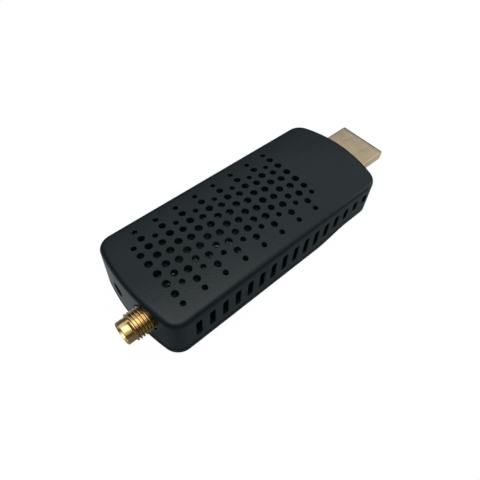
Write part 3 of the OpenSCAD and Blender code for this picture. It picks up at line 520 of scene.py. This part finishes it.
def wrapped(bm, layers, edges, stations, place, rim_z, rings):
    """Fills a laid-out wall, bends it round the outline and draws a rounded edge from its rim."""
    score(bm, fill(bm, edges), 0, stations)
    for vert in bm.verts:
        inner = vert[layers.inner_u], vert[layers.inner_v]
        layers.put(vert, WALL, (vert.co.x, vert.co.y), inner)
        vert.co = place(WALL, vert.co.x, vert.co.y, 0)
    bmesh.ops.remove_doubles(bm, verts=bm.verts, dist=1e-6)
    rim = [e for e in bm.edges if len(e.link_faces) == 1
           and all(abs(v[layers.v] - rim_z(v[layers.u])) < 1e-7 for v in e.verts)]
    for step in range(1, rings + 1):
        made = bmesh.ops.extrude_edge_only(bm, edges=rim)["geom"]
        rim = only(made, bmesh.types.BMEdge)
        for vert in only(made, bmesh.types.BMVert):
            layers.put(vert, EDGE, (vert[layers.u], step / rings))
            vert.co = place(EDGE, vert[layers.u], step / rings, 0)
    return rim


# The wall is laid out flat with its holes, cut at each bend, and wrapped round the outline
cover = bmesh.new()
layers = Layers(cover)
plug_half_w = 6.95 * MM
plug_half_h = 2.225 * MM
plug_gap = 0.15 * MM
notch_half = plug_half_w + plug_gap
notch_top = board_mid.z + plug_half_h + plug_gap
notch = [plug_end_s(-notch_half), plug_end_s(notch_half)]
stations = wall_stations(notch)
low_run = stepped_run(stations, split_h + joint_gap, notch, notch_top)
raised_run = [(s, z + edge_break) for s, z in low_run]
top_run = [(s, edge_start(s)[1]) for s in reversed(stations)]
edges = ring(cover, layers, WALL, raised_run + top_run, low_run + top_run)
for points in wall_holes:
    edges += ring(cover, layers, WALL, grown(points, slot_break), points)
rim = wrapped(cover, layers, edges, stations, cover_place, lambda s: edge_start(s)[1], edge_rings)

# The crowned top, with its grid of vent holes, fills what the rounded edge leaves open
vent_columns = 16
vent_pitch = 2.84 * MM
vent_x = 28.2 * MM - half_l
vent_shift = 1.97 * MM
# Each outer row's distance from the middle one, and the width of its holes
vent_rows = [(8.59 * MM, 1.32 * MM), (5.99 * MM, 1.67 * MM), (3.08 * MM, 1.82 * MM)]
middle_vent = 1.82 * MM
vent_places = [(-y, size) for y, size in vent_rows] + [(0, middle_vent)] + vent_rows[::-1]
rim_verts = {v for e in rim for v in e.verts}
edges = list(rim)
for column in range(vent_columns):
    for place, size in vent_places:
        x = vent_x + (column - (vent_columns - 1) / 2) * vent_pitch
        y = place + (vent_shift if column % 2 else -vent_shift)
        points = circle_points((x, y), size / 2, 24)
        edges += ring(cover, layers, TOP, grown(points, hole_break), points, crown)
vent_verts = [v for v in cover.verts if v[layers.patch] == TOP]
bmesh.ops.translate(cover, verts=vent_verts, vec=(case_x, 0, 0))
rib_ys = sorted({round(v.co.y, 7) for v in rim_verts if abs(v.co.y) < half_w - corner_r / 2})
faces = score(cover, fill(cover, edges), 1, rib_ys)
for vert in {v for f in faces for v in f.verts} - rim_verts:
    inner = vert[layers.inner_u], vert[layers.inner_v]
    layers.put(vert, TOP, (vert.co.x - case_x, vert.co.y), inner)
    vert.co.z = crown(vert.co.y)
thicken(cover, layers, cover_place)
top_cover = finished(cover, "top_cover_moulding")


def surface(tree, colour, roughness, height, strength, relief, **settings):
    """Ends a material with one skin, from its colour, its sheen and its raised grain."""
    bumps = add(tree, "Bump", {"Height": height}, Strength=strength, Distance=relief)
    skin = add(tree, "BsdfPrincipled", {"Base Color": colour, "Roughness": roughness,
                                        "Normal": bumps.outputs[0]}, **settings)
    add(tree, "OutputMaterial", {0: skin.outputs[0]})


def moulded(name, colour, dark, grain, roughness, relief, gloss=0.5):
    """Filled plastic from an etched mould: a fine matt grain over a slightly uneven sheen."""
    material, tree = empty_material(name)
    place = add(tree, "TexCoord").outputs["Object"]
    grit = add(tree, "TexNoise", {"Vector": place}, Scale=1 / grain, Detail=3.0, Roughness=0.6)
    cloud = add(tree, "TexNoise", {"Vector": place}, Scale=1 / (9 * MM), Detail=4.0)
    tone = add(tree, "MapRange", {"Value": grit.outputs["Fac"]}, From_Min=0.35, From_Max=0.65)
    sheen = add(tree, "MapRange", {"Value": cloud.outputs["Fac"]},
                To_Min=roughness - 0.05, To_Max=roughness + 0.05)
    shade = add(tree, "Mix", {0: tone.outputs[0], 6: linear(dark), 7: linear(colour)},
                data_type="RGBA")
    surface(tree, shade.outputs[2], sheen.outputs[0], grit.outputs["Fac"], 0.6, relief,
            IOR=1.5, Specular_IOR_Level=gloss)
    return material


# Black ABS with a cold cast: the etched grain is about 0.12 mm, drawn at 0.3 mm so that it
# shows. Its low sheen leaves the top dark and mirrors the table only at a low angle.
case_abs = moulded("spark-eroded black ABS", "#0d1d20", "#071215", 0.3 * MM, 0.26, 0.07 * MM,
                   gloss=0.25)
top_cover.data.materials.append(case_abs)
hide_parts("top_cover")
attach(top_cover, "root")


# Bottom cover
# A shallow tray in the same ABS. It steps up towards the plug, its lip clips into the top
# cover, and a dam closes the notch below the plug. Four posts carry the board.
foot_r = 0.4 * MM
foot_rings = 4
floor_t = 1.3 * MM


def tray_place(patch, u, v, depth):
    if patch == TOP:
        return Vector((case_x + u, v, rise(u) + (floor_t if depth else 0)))
    point, way = outline(u)
    level = rise(point.x)
    if patch == EDGE:
        angle = quarter * v
        inset, z = foot_r * (1 - math.cos(angle)), level + foot_r * (1 - math.sin(angle))
        if depth:
            inset, z = wall_t, level + floor_t
    else:
        inset, z = (0, edge_break, wall_t)[round(depth * 2)], v
        if depth == 1:
            z = max(z, level + floor_t)
    at = point - way * inset
    return Vector((case_x + at.x, at.y, z))


tray = bmesh.new()
layers = Layers(tray)
dam_top = board_mid.z - plug_half_h - plug_gap
dam = [plug_end_s(-plug_half_w), plug_end_s(plug_half_w)]
stations = wall_stations(dam)
foot_run = [(s, rise(outline(s)[0].x) + foot_r) for s in stations]
outer_rim = stepped_run(stations, split_h - (joint_gap + edge_break), dam, dam_top - edge_break)
inner_rim = stepped_run(stations, split_h - joint_gap, dam, dam_top)
edges = ring(tray, layers, WALL, foot_run + outer_rim[::-1], foot_run + inner_rim[::-1])
rim = wrapped(tray, layers, edges, stations, tray_place,
              lambda s: rise(outline(s)[0].x) + foot_r, foot_rings)
rim_verts = {v for e in rim for v in e.verts}
faces = score(tray, fill(tray, rim), 0, [case_x + x for x in ramp_xs])
for vert in {v for f in faces for v in f.verts} - rim_verts:
    layers.put(vert, TOP, (vert.co.x - case_x, vert.co.y))
    vert.co.z = rise(vert.co.x - case_x)
thicken(tray, layers, tray_place)


def turned(bm, profile, axis_point, axis, steps=32, turn=math.tau, climb=0.0):
    """Spins a profile of (radius, distance) about an axis. A climb makes it a screw thread."""
    axis = Vector(axis).normalized()
    out = axis.orthogonal().normalized()
    verts = [bm.verts.new(Vector(axis_point) + out * r + axis * d) for r, d in profile]
    edges = [bm.edges.new(pair) for pair in zip(verts, verts[1:])]
    bmesh.ops.spin(bm, geom=verts + edges, cent=axis_point, axis=axis, dvec=axis * climb / steps,
                   angle=turn, steps=steps, use_merge=climb == 0)


# The posts stand on the floor: two take a screw, two a peg that passes through the board
board_low, board_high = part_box("main_board")
board_half = (board_high - board_low) / 2
screw_low, screw_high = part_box("board_screws")
head_r = 1.75 * MM
post_r = 1.8 * MM
peg_post_r = 1.5 * MM
post_break = 0.1 * MM
peg_r = 0.7 * MM
peg_break = 0.2 * MM
peg_top = board_low.z + 1.6 * MM
flat = [(0, board_low.z)]
peg = [(peg_r, board_low.z), (peg_r, peg_top - peg_break), (peg_r - peg_break, peg_top),
       (0, peg_top)]
for x, y, radius, top in (
        (screw_low.x + head_r, screw_high.y - head_r, post_r, flat),
        (screw_high.x - head_r, screw_low.y + head_r, post_r, flat),
        (board_mid.x - 0.80 * board_half.x, -0.84 * board_half.y, peg_post_r, peg),
        (board_mid.x + 0.865 * board_half.x, 0.83 * board_half.y, peg_post_r, peg)):
    base = rise(x - case_x) + floor_t / 2
    post = [(0, base), (radius, base), (radius, board_low.z - post_break),
            (radius - post_break, board_low.z)]
    turned(tray, post + top, (x, y, 0), (0, 0, 1))
bottom_cover = finished(tray, "bottom_cover_moulding")
# The same ABS from another mould, a shade duller
tray_abs = moulded("spark-eroded black ABS tray", "#0d1c1f", "#071114", 0.3 * MM, 0.27, 0.07 * MM,
                   gloss=0.25)
bottom_cover.data.materials.append(tray_abs)
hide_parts("bottom_cover")
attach(bottom_cover, "root")


# Plug for the television
# A shell folded from 0.3 mm steel and plated in a warm satin nickel. Two shallow dents are
# coined near its tip, and two tabs behind it hold the circuit board.
plug_low, plug_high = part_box("hdmi_shell")
plug_rear = plug_high.x - 18.5 * MM
plug_knee = plug_half_h - 2.6 * MM
plug_base = 5.4 * MM
shell_t = 0.3 * MM
tip_taper = 0.06 * MM
dent_y = 2.85 * MM
dent_half_w = 0.65 * MM
dent_from_tip = 1.3 * MM
dent_l = 3.4 * MM
dent_depth = 0.018 * MM
lock_y = 6.8 * MM
lock_t = 0.3 * MM
lock_h = 2.4 * MM
lock_z = board_mid.z + 0.2 * MM


def rounded(corners, radii, steps=5):
    """A counter-clockwise polygon with each corner turned on its radius."""
    points = []
    for i, (corner, radius) in enumerate(zip(corners, radii)):
        here = Vector(corner)
        back = (Vector(corners[i - 1]) - here).normalized()
        ahead = (Vector(corners[(i + 1) % len(corners)]) - here).normalized()
        half = back.angle(ahead) / 2
        centre = here + (back + ahead).normalized() * radius / math.sin(half)
        start = here + back * radius / math.tan(half) - centre
        end = here + ahead * radius / math.tan(half) - centre
        bend = start.angle(end)
        for step in range(steps + 1):
            t = step / steps
            arm = (start * math.sin(bend * (1 - t)) + end * math.sin(bend * t)) / math.sin(bend)
            points.append(tuple(centre + arm))
    return points


def drawn(bm, section, stations, place):
    """Draws a closed section from station to station; place puts its points."""
    number = bm.verts.layers.int.new("number")
    verts = [bm.verts.new(place(i, stations[0])) for i in range(len(section))]
    for i, vert in enumerate(verts):
        vert[number] = i
    rim = [bm.edges.new((verts[i - 1], verts[i])) for i in range(len(verts))]
    for station in stations[1:]:
        made = bmesh.ops.extrude_edge_only(bm, edges=rim)["geom"]
        rim = only(made, bmesh.types.BMEdge)
        for vert in only(made, bmesh.types.BMVert):
            vert.co = place(vert[number], station)


def soften(bm, edges, offset):
    bmesh.ops.bevel(bm, geom=edges, offset=offset, affect="EDGES", segments=2, profile=0.5,
                    material=-1)


def sheeted(bm, thickness, mouth, offset):
    """Gives a drawn shell the thickness of its sheet, inwards, and softens its mouth."""
    bmesh.ops.solidify(bm, geom=bm.faces[:], thickness=thickness)
    soften(bm, [e for e in bm.edges if all(mouth(v.co) for v in e.verts)
                and len(e.link_faces) == 2 and e.calc_face_angle(0) > 1], offset)


def block(bm, low, high, offset):
    """A block between two corners, with softened edges."""
    low, high = Vector(low), Vector(high)
    made = bmesh.ops.create_cube(bm, size=1)["verts"]
    bmesh.ops.scale(bm, vec=high - low, verts=made)
    bmesh.ops.translate(bm, vec=(low + high) / 2, verts=made)
    soften(bm, list({e for v in made for e in v.link_edges}), offset)


plug_section = rounded(
    [(plug_half_w, plug_half_h), (-plug_half_w, plug_half_h), (-plug_half_w, plug_knee),
     (-plug_base, -plug_half_h), (plug_base, -plug_half_h), (plug_half_w, plug_knee)],
    [0.45 * MM, 0.45 * MM, 1.2 * MM, 0.9 * MM, 0.9 * MM, 1.2 * MM], 6)
# Which way each point moves as the tip tapers
plug_ways = [Vector(b) - Vector(a) for a, b in zip(plug_section, grown(plug_section, 1.0))]


def plug_place(number, station):
    x, inset = station
    at = Vector(plug_section[number]) - plug_ways[number] * inset
    return Vector((x, at.x, board_mid.z + at.y))


def eased(value, low, high, slope):
    """1 between low and high, falling smoothly to 0 over a slope on either side."""
    t = min(max(min(value - low, high - value) / slope, 0), 1)
    return t * t * (3 - 2 * t)


plug = bmesh.new()
tip = plug_high.x
tip_stations = [(plug_rear, 0), (tip - 1.1 * MM, 0), (tip - 0.5 * MM, tip_taper * 0.35),
                (tip, tip_taper)]
drawn(plug, plug_section, tip_stations, plug_place)
dent_ends = (tip - dent_from_tip - dent_l, tip - dent_from_tip)
dent_slope = 0.45 * MM
skin_low = board_mid.z + plug_half_h - 0.2 * MM
steps = [i / 4 for i in range(5)]
faces = score(plug, plug.faces[:], 0, [dent_ends[0] + dent_slope * t for t in steps]
              + [dent_ends[1] - dent_slope * t for t in steps])
faces = [f for f in faces if f.calc_center_median().z > skin_low]
score(plug, faces, 1, [side * dent_y + way * (dent_half_w - dent_slope * t)
                       for side in (-1, 1) for way in (-1, 1) for t in steps])
for vert in plug.verts:
    if vert.co.z > skin_low:
        across = eased(abs(vert.co.y), dent_y - dent_half_w, dent_y + dent_half_w, dent_slope)
        vert.co.z -= dent_depth * across * eased(vert.co.x, *dent_ends, dent_slope)
bmesh.ops.recalc_face_normals(plug, faces=plug.faces)
sheeted(plug, shell_t, lambda co: co.x > tip - 1e-5, 0.09 * MM)
for side in (-1, 1):
    block(plug, (plug_low.x, side * lock_y - lock_t / 2, lock_z - lock_h / 2),
          (plug_rear + 0.3 * MM, side * lock_y + lock_t / 2, lock_z + lock_h / 2), 0.06 * MM)
hdmi_shell = finished(plug, "hdmi_plug_shell", 24)


def metal(name, colour, shade, roughness, grain, along=(1, 1, 1), relief=0.004 * MM):
    """Bare or plated metal. Its worked grain is drawn out one way, and its tone drifts a little."""
    material, tree = empty_material(name)
    place = add(tree, "TexCoord").outputs["Object"]
    spread = add(tree, "Mapping", {"Vector": place}, Scale=[a / grain for a in along])
    lines = add(tree, "TexNoise", {"Vector": spread.outputs[0]}, Scale=1.0, Detail=3.0,
                Roughness=0.6)
    cloud = add(tree, "TexNoise", {"Vector": place}, Scale=1 / (2.5 * MM), Detail=3.0)
    drift = add(tree, "MapRange", {"Value": cloud.outputs["Fac"]}, From_Min=0.3, From_Max=0.7)
    sheen = add(tree, "MapRange", {"Value": lines.outputs["Fac"]}, From_Min=0.3, From_Max=0.7,
                To_Min=roughness * 0.9, To_Max=roughness * 1.1)
    tint = add(tree, "Mix", {0: drift.outputs[0], 6: linear(shade), 7: linear(colour)},
               data_type="RGBA")
    surface(tree, tint.outputs[2], sheen.outputs[0], lines.outputs["Fac"], 0.5, relief,
            Metallic=1.0)
    return material


def finish(material, *names):
    """Gives CAD nodes that keep their shape a material of their own."""
    for name in names:
        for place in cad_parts[name].material_slots:
            place.material = material


# Satin nickel with a champagne cast; rolling lines run along the plug, 0.05 mm apart in the
# real sheet and drawn at 0.12 mm so that they show
warm_nickel = metal("satin nickel plate", "#bcae93", "#b3a486", 0.27, 0.12 * MM,
                    (0.12, 1, 1), 0.0005 * MM)
hdmi_shell.data.materials.append(warm_nickel)
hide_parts("hdmi_shell")
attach(hdmi_shell, "root")
# Black liquid-crystal polymer: short moulded fibres leave a fine satin fleck. Like the grain
# of the other small mouldings it is drawn coarse, at 0.1 to 0.35 mm, so that it shows
finish(moulded("black moulded polymer core", "#1b1b1c", "#121213", 0.2 * MM, 0.4, 0.008 * MM),
       "hdmi_insulator")
# Gold flash over nickel on stamped contacts, bright where it was burnished. The grain of
# the small metal parts is drawn at 0.1 to 0.2 mm so that it shows
contact_gold = metal("gold flash on contacts", "#e3b45c", "#cf9a42", 0.22, 0.15 * MM, (0.3, 1, 1))
finish(contact_gold, "hdmi_contacts")


# Antenna socket
# Turned from brass and gold plated, with a quarter-inch screw thread of 36 turns to the inch
# and a plain ring in front. Its flange and four legs are soldered to the board's edge.
body_low, body_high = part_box("antenna_body")
flange_t = 1.5 * MM
flange_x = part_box("antenna_insulator")[1].x - flange_t
flange_half = 3.2 * MM
socket_l = flange_x - body_low.x
thread_pitch = 25.4 / 36 * MM
thread_r = 3.125 * MM
root_r = thread_r - 0.61 * thread_pitch
ring_r = 2.65 * MM
ring_l = 1.48 * MM
lead_in = 0.8
bore_r = 2.1 * MM
mouth_r = 2.3 * MM
mouth_l = 2.0 * MM
thread_turns = 7
thread_phase = 5.6
steps_per_turn = 56


def loop(bm, points):
    verts = [bm.verts.new((*p, 0)) for p in points]
    return [bm.edges.new(pair) for pair in zip(verts, verts[1:] + verts[:1])]


socket = bmesh.new()
edges = loop(socket, slot_points((-flange_half, -flange_half), (flange_half, flange_half),
                                 0.3 * MM))
edges += loop(socket, circle_points((0, 0), bore_r, 48))
plate = fill(socket, edges)
raised = bmesh.ops.extrude_face_region(socket, geom=plate, use_keep_orig=True)["geom"]
bmesh.ops.translate(socket, verts=only(raised, bmesh.types.BMVert), vec=(0, 0, -flange_t))
soften(socket, [e for e in socket.edges if len(e.link_faces) == 2 and e.calc_face_angle(0) > 1
                and max(abs(v.co.x) + abs(v.co.y) for v in e.verts) > flange_half * 0.99],
       0.1 * MM)
thread_end = socket_l - ring_l
turned(socket, [
    (bore_r, -flange_t / 2), (root_r - 0.08 * MM, -flange_t / 2), (root_r - 0.08 * MM, thread_end),
    (ring_r - 0.06 * MM, thread_end + 0.02 * MM), (ring_r, thread_end + 0.08 * MM),
    (ring_r, socket_l - 0.16 * MM), (ring_r - 0.05 * MM, socket_l - 0.05 * MM),
    (ring_r - 0.14 * MM, socket_l), (mouth_r + 0.12 * MM, socket_l),
    (mouth_r + 0.03 * MM, socket_l - 0.03 * MM),
    (mouth_r, socket_l - 0.12 * MM), (mouth_r, socket_l - mouth_l), (bore_r, socket_l - mouth_l),
    (bore_r, -flange_t / 2)], (0, 0, 0), (0, 0, 1), 80)

# One closed tooth climbs round the root, drawn as its radius at shares of the pitch. Its two
# ends sink into the root, and the turned lead-in in front cuts it down to a wedge, so its
# first turn grows out of the ring
sunk_r = root_r - 0.14 * MM
tooth = [(sunk_r, 0.04), (root_r + 0.02 * MM, 0.08), (thread_r - 0.04 * MM, 0.34),
         (thread_r, 0.39), (thread_r, 0.55), (thread_r - 0.04 * MM, 0.6),
         (root_r + 0.02 * MM, 0.86), (sunk_r, 0.9), (sunk_r, 0.04)]
before = set(socket.verts)
turned(socket, [(radius, share * thread_pitch) for radius, share in tooth], (0, 0, 0), (0, 0, 1),
       steps_per_turn * thread_turns, math.tau * thread_turns, thread_pitch * thread_turns)
thread_verts = [v for v in socket.verts if v not in before]
bmesh.ops.remove_doubles(socket, verts=thread_verts, dist=1e-6)
ends = [e for e in socket.edges if e.is_boundary]
for vert in {v for e in ends for v in e.verts}:
    vert.co.xy = vert.co.xy.normalized() * sunk_r
bmesh.ops.holes_fill(socket, edges=ends, sides=0)
thread_verts = [v for v in thread_verts if v.is_valid]
for vert in thread_verts:
    limit = sunk_r + max(thread_end - vert.co.z, 0) * lead_in
    vert.co.xy = vert.co.xy.normalized() * min(vert.co.xy.length, limit)
    vert.co.z = min(vert.co.z, thread_end + 0.3 * MM)
bmesh.ops.rotate(socket, verts=thread_verts, cent=(0, 0, 0),
                 matrix=Matrix.Rotation(thread_phase, 3, "Z"))
bmesh.ops.transform(socket, verts=socket.verts, matrix=Matrix((
    (0, 0, -1, flange_x), (0, 1, 0, antenna_mid.y), (1, 0, 0, antenna_mid.z), (0, 0, 0, 1))))
leg_w = 1.0 * MM
leg_l = 4.0 * MM
leg_h = 1.1 * MM
board_top = board_high.z
for side in (-1, 1):
    y = antenna_mid.y + side * (flange_half - leg_w / 2)
    for low_z in (board_low.z - leg_h, board_top):
        block(socket, (body_high.x - leg_l, y - leg_w / 2, low_z),
              (body_high.x, y + leg_w / 2, low_z + leg_h), 0.12 * MM)
antenna_body = finished(socket, "antenna_socket_body", 30)
# Bright gold over turned brass: fine lathe lines round the socket, 0.03 mm apart in the real
# one and drawn at 0.1 mm
bright_gold = metal("bright gold plate", "#dcc590", "#c29d60", 0.15, 0.1 * MM,
                    (1, 0.25, 0.25), 0.002 * MM)
antenna_body.data.materials.append(bright_gold)
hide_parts("antenna_body")
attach(antenna_body, "root")
# White PTFE is waxy: a soft highlight over a faint grain that the turning leaves
finish(moulded("turned white PTFE", "#e9e6dd", "#dbd7cb", 0.25 * MM, 0.38, 0.006 * MM),
       "antenna_insulator")
finish(contact_gold, "antenna_contact")


# Ports on the far side
# Two sockets folded from tinned steel sheet, a wide one and a small one for power. Springs
# cut from the sheet press on the plug, and ears hold each socket to the board.
spring_dip = 0.42 * MM
spring_l_share = 0.93
spring_taper = 0.25
mouth_share = 0.3
ear_break = 0.05 * MM

# Cold-rolled sheet, tinned: its rolling lines run from the mouth to the back
tinned_steel = metal("tinned steel sheet", "#c6c9cb", "#b3b6b9", 0.3, 0.15 * MM, (1, 0.3, 1))


def openings(x, half_w, front, back, sides):
    """Windows in a socket's upper (1) or lower (-1) sheet, in pairs about its middle."""
    return [(way * x - half_w, way * x + half_w, front, back, side)
            for way in (-1, 1) for side in sides]


def port_shell(section, mid, mouth_y, length, sheet_t, windows, spring_share):
    """A folded socket shell with windows in its upper and lower sheets, a spring in each."""
    shell = bmesh.new()
    half_h = max(z for x, z in section)

    def place(number, y):
        x, z = section[number]
        return Vector((mid.x + x, y, mid.z + z))

    drawn(shell, section, [mouth_y - length, mouth_y], place)
    faces = score(shell, shell.faces[:], 0, sorted({mid.x + x for w in windows for x in w[:2]}))
    faces = score(shell, faces, 1, sorted({mouth_y - y for w in windows for y in w[2:4]}))
    cut = []
    for face in faces:
        at = face.calc_center_median()
        for x0, x1, y0, y1, side in windows:
            if (mid.x + x0 < at.x < mid.x + x1 and mouth_y - y0 > at.y > mouth_y - y1
                    and side * (at.z - mid.z) > half_h * 0.8):
                cut.append(face)
    bmesh.ops.delete(shell, geom=cut, context="FACES")
    for x0, x1, y0, y1, side in windows:
        wide = (x1 - x0) * spring_share
        made = bmesh.ops.create_grid(shell, x_segments=2, y_segments=10, size=0.5)["verts"]
        for vert in made:
            t = vert.co.y + 0.5
            dip = math.sin(math.pi * t * 0.8) * spring_dip
            vert.co = Vector((mid.x + (x0 + x1) / 2 + vert.co.x * wide * (1 - spring_taper * t),
                              mouth_y - y1 + (y1 - y0) * spring_l_share * t,
                              mid.z + side * (half_h - dip)))
        if side < 0:
            bmesh.ops.reverse_faces(shell, faces=list({f for v in made for f in v.link_faces}))
    sheeted(shell, sheet_t, lambda co: co.y > mouth_y - 1e-5, sheet_t * mouth_share)
    return shell


def add_ears(shell, mid_x, out, half, spans, sheet_t):
    """Lays ears on the board on both sides of a socket."""
    for x in (mid_x - out, mid_x + out):
        for y0, y1 in spans:
            block(shell, (x - half, y0, board_top), (x + half, y1, board_top + sheet_t), ear_break)


usb_mouth_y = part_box("usb_shell")[1].y
usb_half_w = 6.55 * MM
usb_half_h = 2.85 * MM
usb_l = 10 * MM
usb_sheet_t = 0.3 * MM
usb_ear_ys = (usb_mouth_y - 8.9 * MM, usb_mouth_y - 5 * MM)
usb_ear_l = 2.2 * MM
usb_section = rounded(
    [(usb_half_w, usb_half_h), (-usb_half_w, usb_half_h), (-usb_half_w, -usb_half_h),
     (usb_half_w, -usb_half_h)], [0.6 * MM] * 4, 6)
usb = port_shell(
    usb_section, usb_mid, usb_mouth_y, usb_l, usb_sheet_t,
    openings(x=3.1 * MM, half_w=1.0 * MM, front=2.2 * MM, back=7.2 * MM, sides=(-1, 1)), 0.62)
add_ears(usb, usb_mid.x, usb_half_w + 0.6 * MM, 0.75 * MM,
         [(y, y + usb_ear_l) for y in usb_ear_ys], usb_sheet_t)
usb_shell = finished(usb, "usb_socket_shell", 30)
usb_shell.data.materials.append(tinned_steel)
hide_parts("usb_shell")
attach(usb_shell, "root")

power_low, power_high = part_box("power_shell")
power_half_w = 3.75 * MM
power_half_h = 1.3 * MM
power_bevel = 0.8 * MM
power_l = 5 * MM
power_sheet_t = 0.25 * MM
power_section = rounded(
    [(power_half_w, power_half_h), (-power_half_w, power_half_h),
     (-power_half_w, power_bevel - power_half_h), (power_bevel - power_half_w, -power_half_h),
     (power_half_w - power_bevel, -power_half_h), (power_half_w, power_bevel - power_half_h)],
    [0.35 * MM] * 2 + [0.4 * MM] * 4, 4)
power = port_shell(
    power_section, power_mid, power_high.y, power_l, power_sheet_t,
    openings(x=1.9 * MM, half_w=0.6 * MM, front=1.3 * MM, back=3.5 * MM, sides=(1,)), 0.6)
add_ears(power, power_mid.x, power_half_w + 0.5 * MM, 0.625 * MM,
         [(power_low.y + 0.8 * MM, power_low.y + 2.4 * MM)], power_sheet_t)
power_shell = finished(power, "power_socket_shell", 30)
power_shell.data.materials.append(tinned_steel)
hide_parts("power_shell")
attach(power_shell, "root")
# Black glass-filled polymer tongues, duller than the plug's core
finish(moulded("black glass-filled tongue", "#222224", "#18181a", 0.2 * MM, 0.48, 0.012 * MM),
       "usb_insulator", "power_insulator")
finish(contact_gold, "usb_contacts", "power_contacts")


# Remote eye jack
# A black moulded jack behind the round hole in the end wall, with bent spring contacts that
# grip a 3.5 mm plug. Its ears are soldered into the board's notch.
finish(moulded("black polyester jack body", "#1e1e20", "#151516", 0.2 * MM, 0.42, 0.01 * MM),
       "jack_body")
# Thin stamped strip: its tin is warmer than the shells', because the bronze shows through
finish(metal("tinned phosphor bronze", "#cfcabd", "#b9b2a2", 0.28, 0.12 * MM, (0.3, 1, 1)),
       "jack_springs")


# Circuit board
# Glass-filled epoxy board under a green solder mask. Copper tracks raise the mask in thin
# lighter lines, which glint through the vent holes.
mask, tree = empty_material("green solder mask over copper tracks")
place = add(tree, "TexCoord").outputs["Object"]
# Tracks are about 0.2 mm wide and turn at right angles
tracks = add(tree, "TexVoronoi", {"Vector": place}, feature="F1", distance="CHEBYCHEV",
             Scale=1 / (1.6 * MM))
bands = add(tree, "Math", {0: tracks.outputs["Distance"], 1: 0.14}, operation="PINGPONG")
lines = add(tree, "MapRange", {"Value": bands.outputs[0]}, interpolation_type="SMOOTHSTEP",
            From_Min=0.05, From_Max=0.09)
speck = add(tree, "TexNoise", {"Vector": place}, Scale=1 / (0.5 * MM), Detail=3.0)
sheen = add(tree, "MapRange", {"Value": speck.outputs["Fac"]}, To_Min=0.25, To_Max=0.4)
green = add(tree, "Mix", {0: lines.outputs[0], 6: linear("#0b2a1c"), 7: linear("#154831")},
            data_type="RGBA")
surface(tree, green.outputs[2], sheen.outputs[0], lines.outputs[0], 0.5, 0.03 * MM, IOR=1.5)
finish(mask, "main_board")
# The two self-tapping screws are zinc plated, bright and slightly blue
finish(metal("zinc plated screw steel", "#bcc0c4", "#a6abb0", 0.3, 0.1 * MM), "board_screws")


# Chips and their leads
# Black epoxy packages, ground or moulded matt, on tinned copper leads soldered to the board.
# The decoder runs hot, so a soft pad carries its heat to a small extruded sink.
epoxy = moulded("black moulded epoxy", "#232527", "#17181a", 0.12 * MM, 0.55, 0.015 * MM)
finish(epoxy, "decoder_chip", "tuner_chip", "flash_chip", "regulators", "surge_arrays")
# Reflowed tin on leads and end caps, bright and without a direction
tin = metal("bright tin plate", "#b1b4b6", "#999da0", 0.28, 0.15 * MM)
finish(tin, "decoder_leads", "flash_leads", "regulator_leads", "inductor_terminals",
       "bulk_terminals", "chip_terminals")
# Filled silicone rubber, dull and slightly rough where it was cut
finish(moulded("grey-blue silicone pad", "#8f9aa8", "#7d8896", 0.3 * MM, 0.7, 0.03 * MM),
       "thermal_pad")
# Extruding leaves straight drag lines along the fins, about 0.1 mm apart
finish(metal("extruded aluminium", "#8f9498", "#7f8489", 0.38, 0.1 * MM, (0.08, 1, 1),
             0.006 * MM), "heat_sink")


# Tuner can
# A fence of tinned steel sheet is soldered round the tuner, and a pierced lid clips over it.
# Inside are its chip, a crystal in a seam-welded can, and small wound coils.
finish(metal("tinned steel can", "#a4a8aa", "#8d9194", 0.34, 0.18 * MM, (1, 0.3, 1)),
       "tuner_fence", "tuner_lid")
# Seam-welded cans under a plain nickel plate, a little brighter than the tin
finish(metal("nickel crystal can", "#bcbec0", "#a8aaac", 0.3, 0.12 * MM, (1, 0.4, 1)),
       "tuner_crystal", "main_crystal")
# Fired ceramic bodies under a thin glaze
finish(moulded("blue-grey ceramic coil", "#6d7f9c", "#5b6c88", 0.15 * MM, 0.45, 0.01 * MM),
       "tuner_coils")


# Small parts on the board
# Pressed ferrite inductors, capacitors of fired ceramic and resistors on alumina: chalky
# bodies with a fine grain, soldered by tinned ends.
def fired(name, colour, dark, grain, roughness):
    """Pressed and fired powder: close grains of slightly different tone, and a dry surface."""
    material, tree = empty_material(name)
    place = add(tree, "TexCoord").outputs["Object"]
    grains = add(tree, "TexVoronoi", {"Vector": place}, Scale=1 / grain).outputs["Distance"]
    tone = add(tree, "Mix", {0: grains, 6: linear(colour), 7: linear(dark)}, data_type="RGBA")
    surface(tree, tone.outputs[2], roughness, grains, 0.5, 0.01 * MM, IOR=1.6)
    return material


# Grains are a few hundredths of a millimetre across and are drawn at 0.1 to 0.15 mm
finish(fired("pressed grey ferrite", "#55585b", "#3f4245", 0.15 * MM, 0.6), "power_inductors")
finish(fired("dark tantalum ceramic", "#45433b", "#33322c", 0.12 * MM, 0.55), "bulk_capacitors")
finish(fired("fired tan ceramic", "#a98355", "#8d6b42", 0.1 * MM, 0.5), "ceramic_capacitors")
finish(fired("glazed resistor body", "#1d1e20", "#111213", 0.1 * MM, 0.4), "chip_resistors")
# Cast resin over the diode: clear and slightly yellow, so it is glossier than its neighbours
finish(moulded("cast resin light", "#d8d9c4", "#c6c8ae", 0.2 * MM, 0.2, 0.002 * MM), "status_light")


# Rating label
# A polyester film label with a satin face, stuck in a shallow recess of the underside.
# Nothing is printed on it.
finish(moulded("satin polyester film", "#3b3e41", "#34373a", 0.35 * MM, 0.36, 0.004 * MM),
       "rating_label")

low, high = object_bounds()
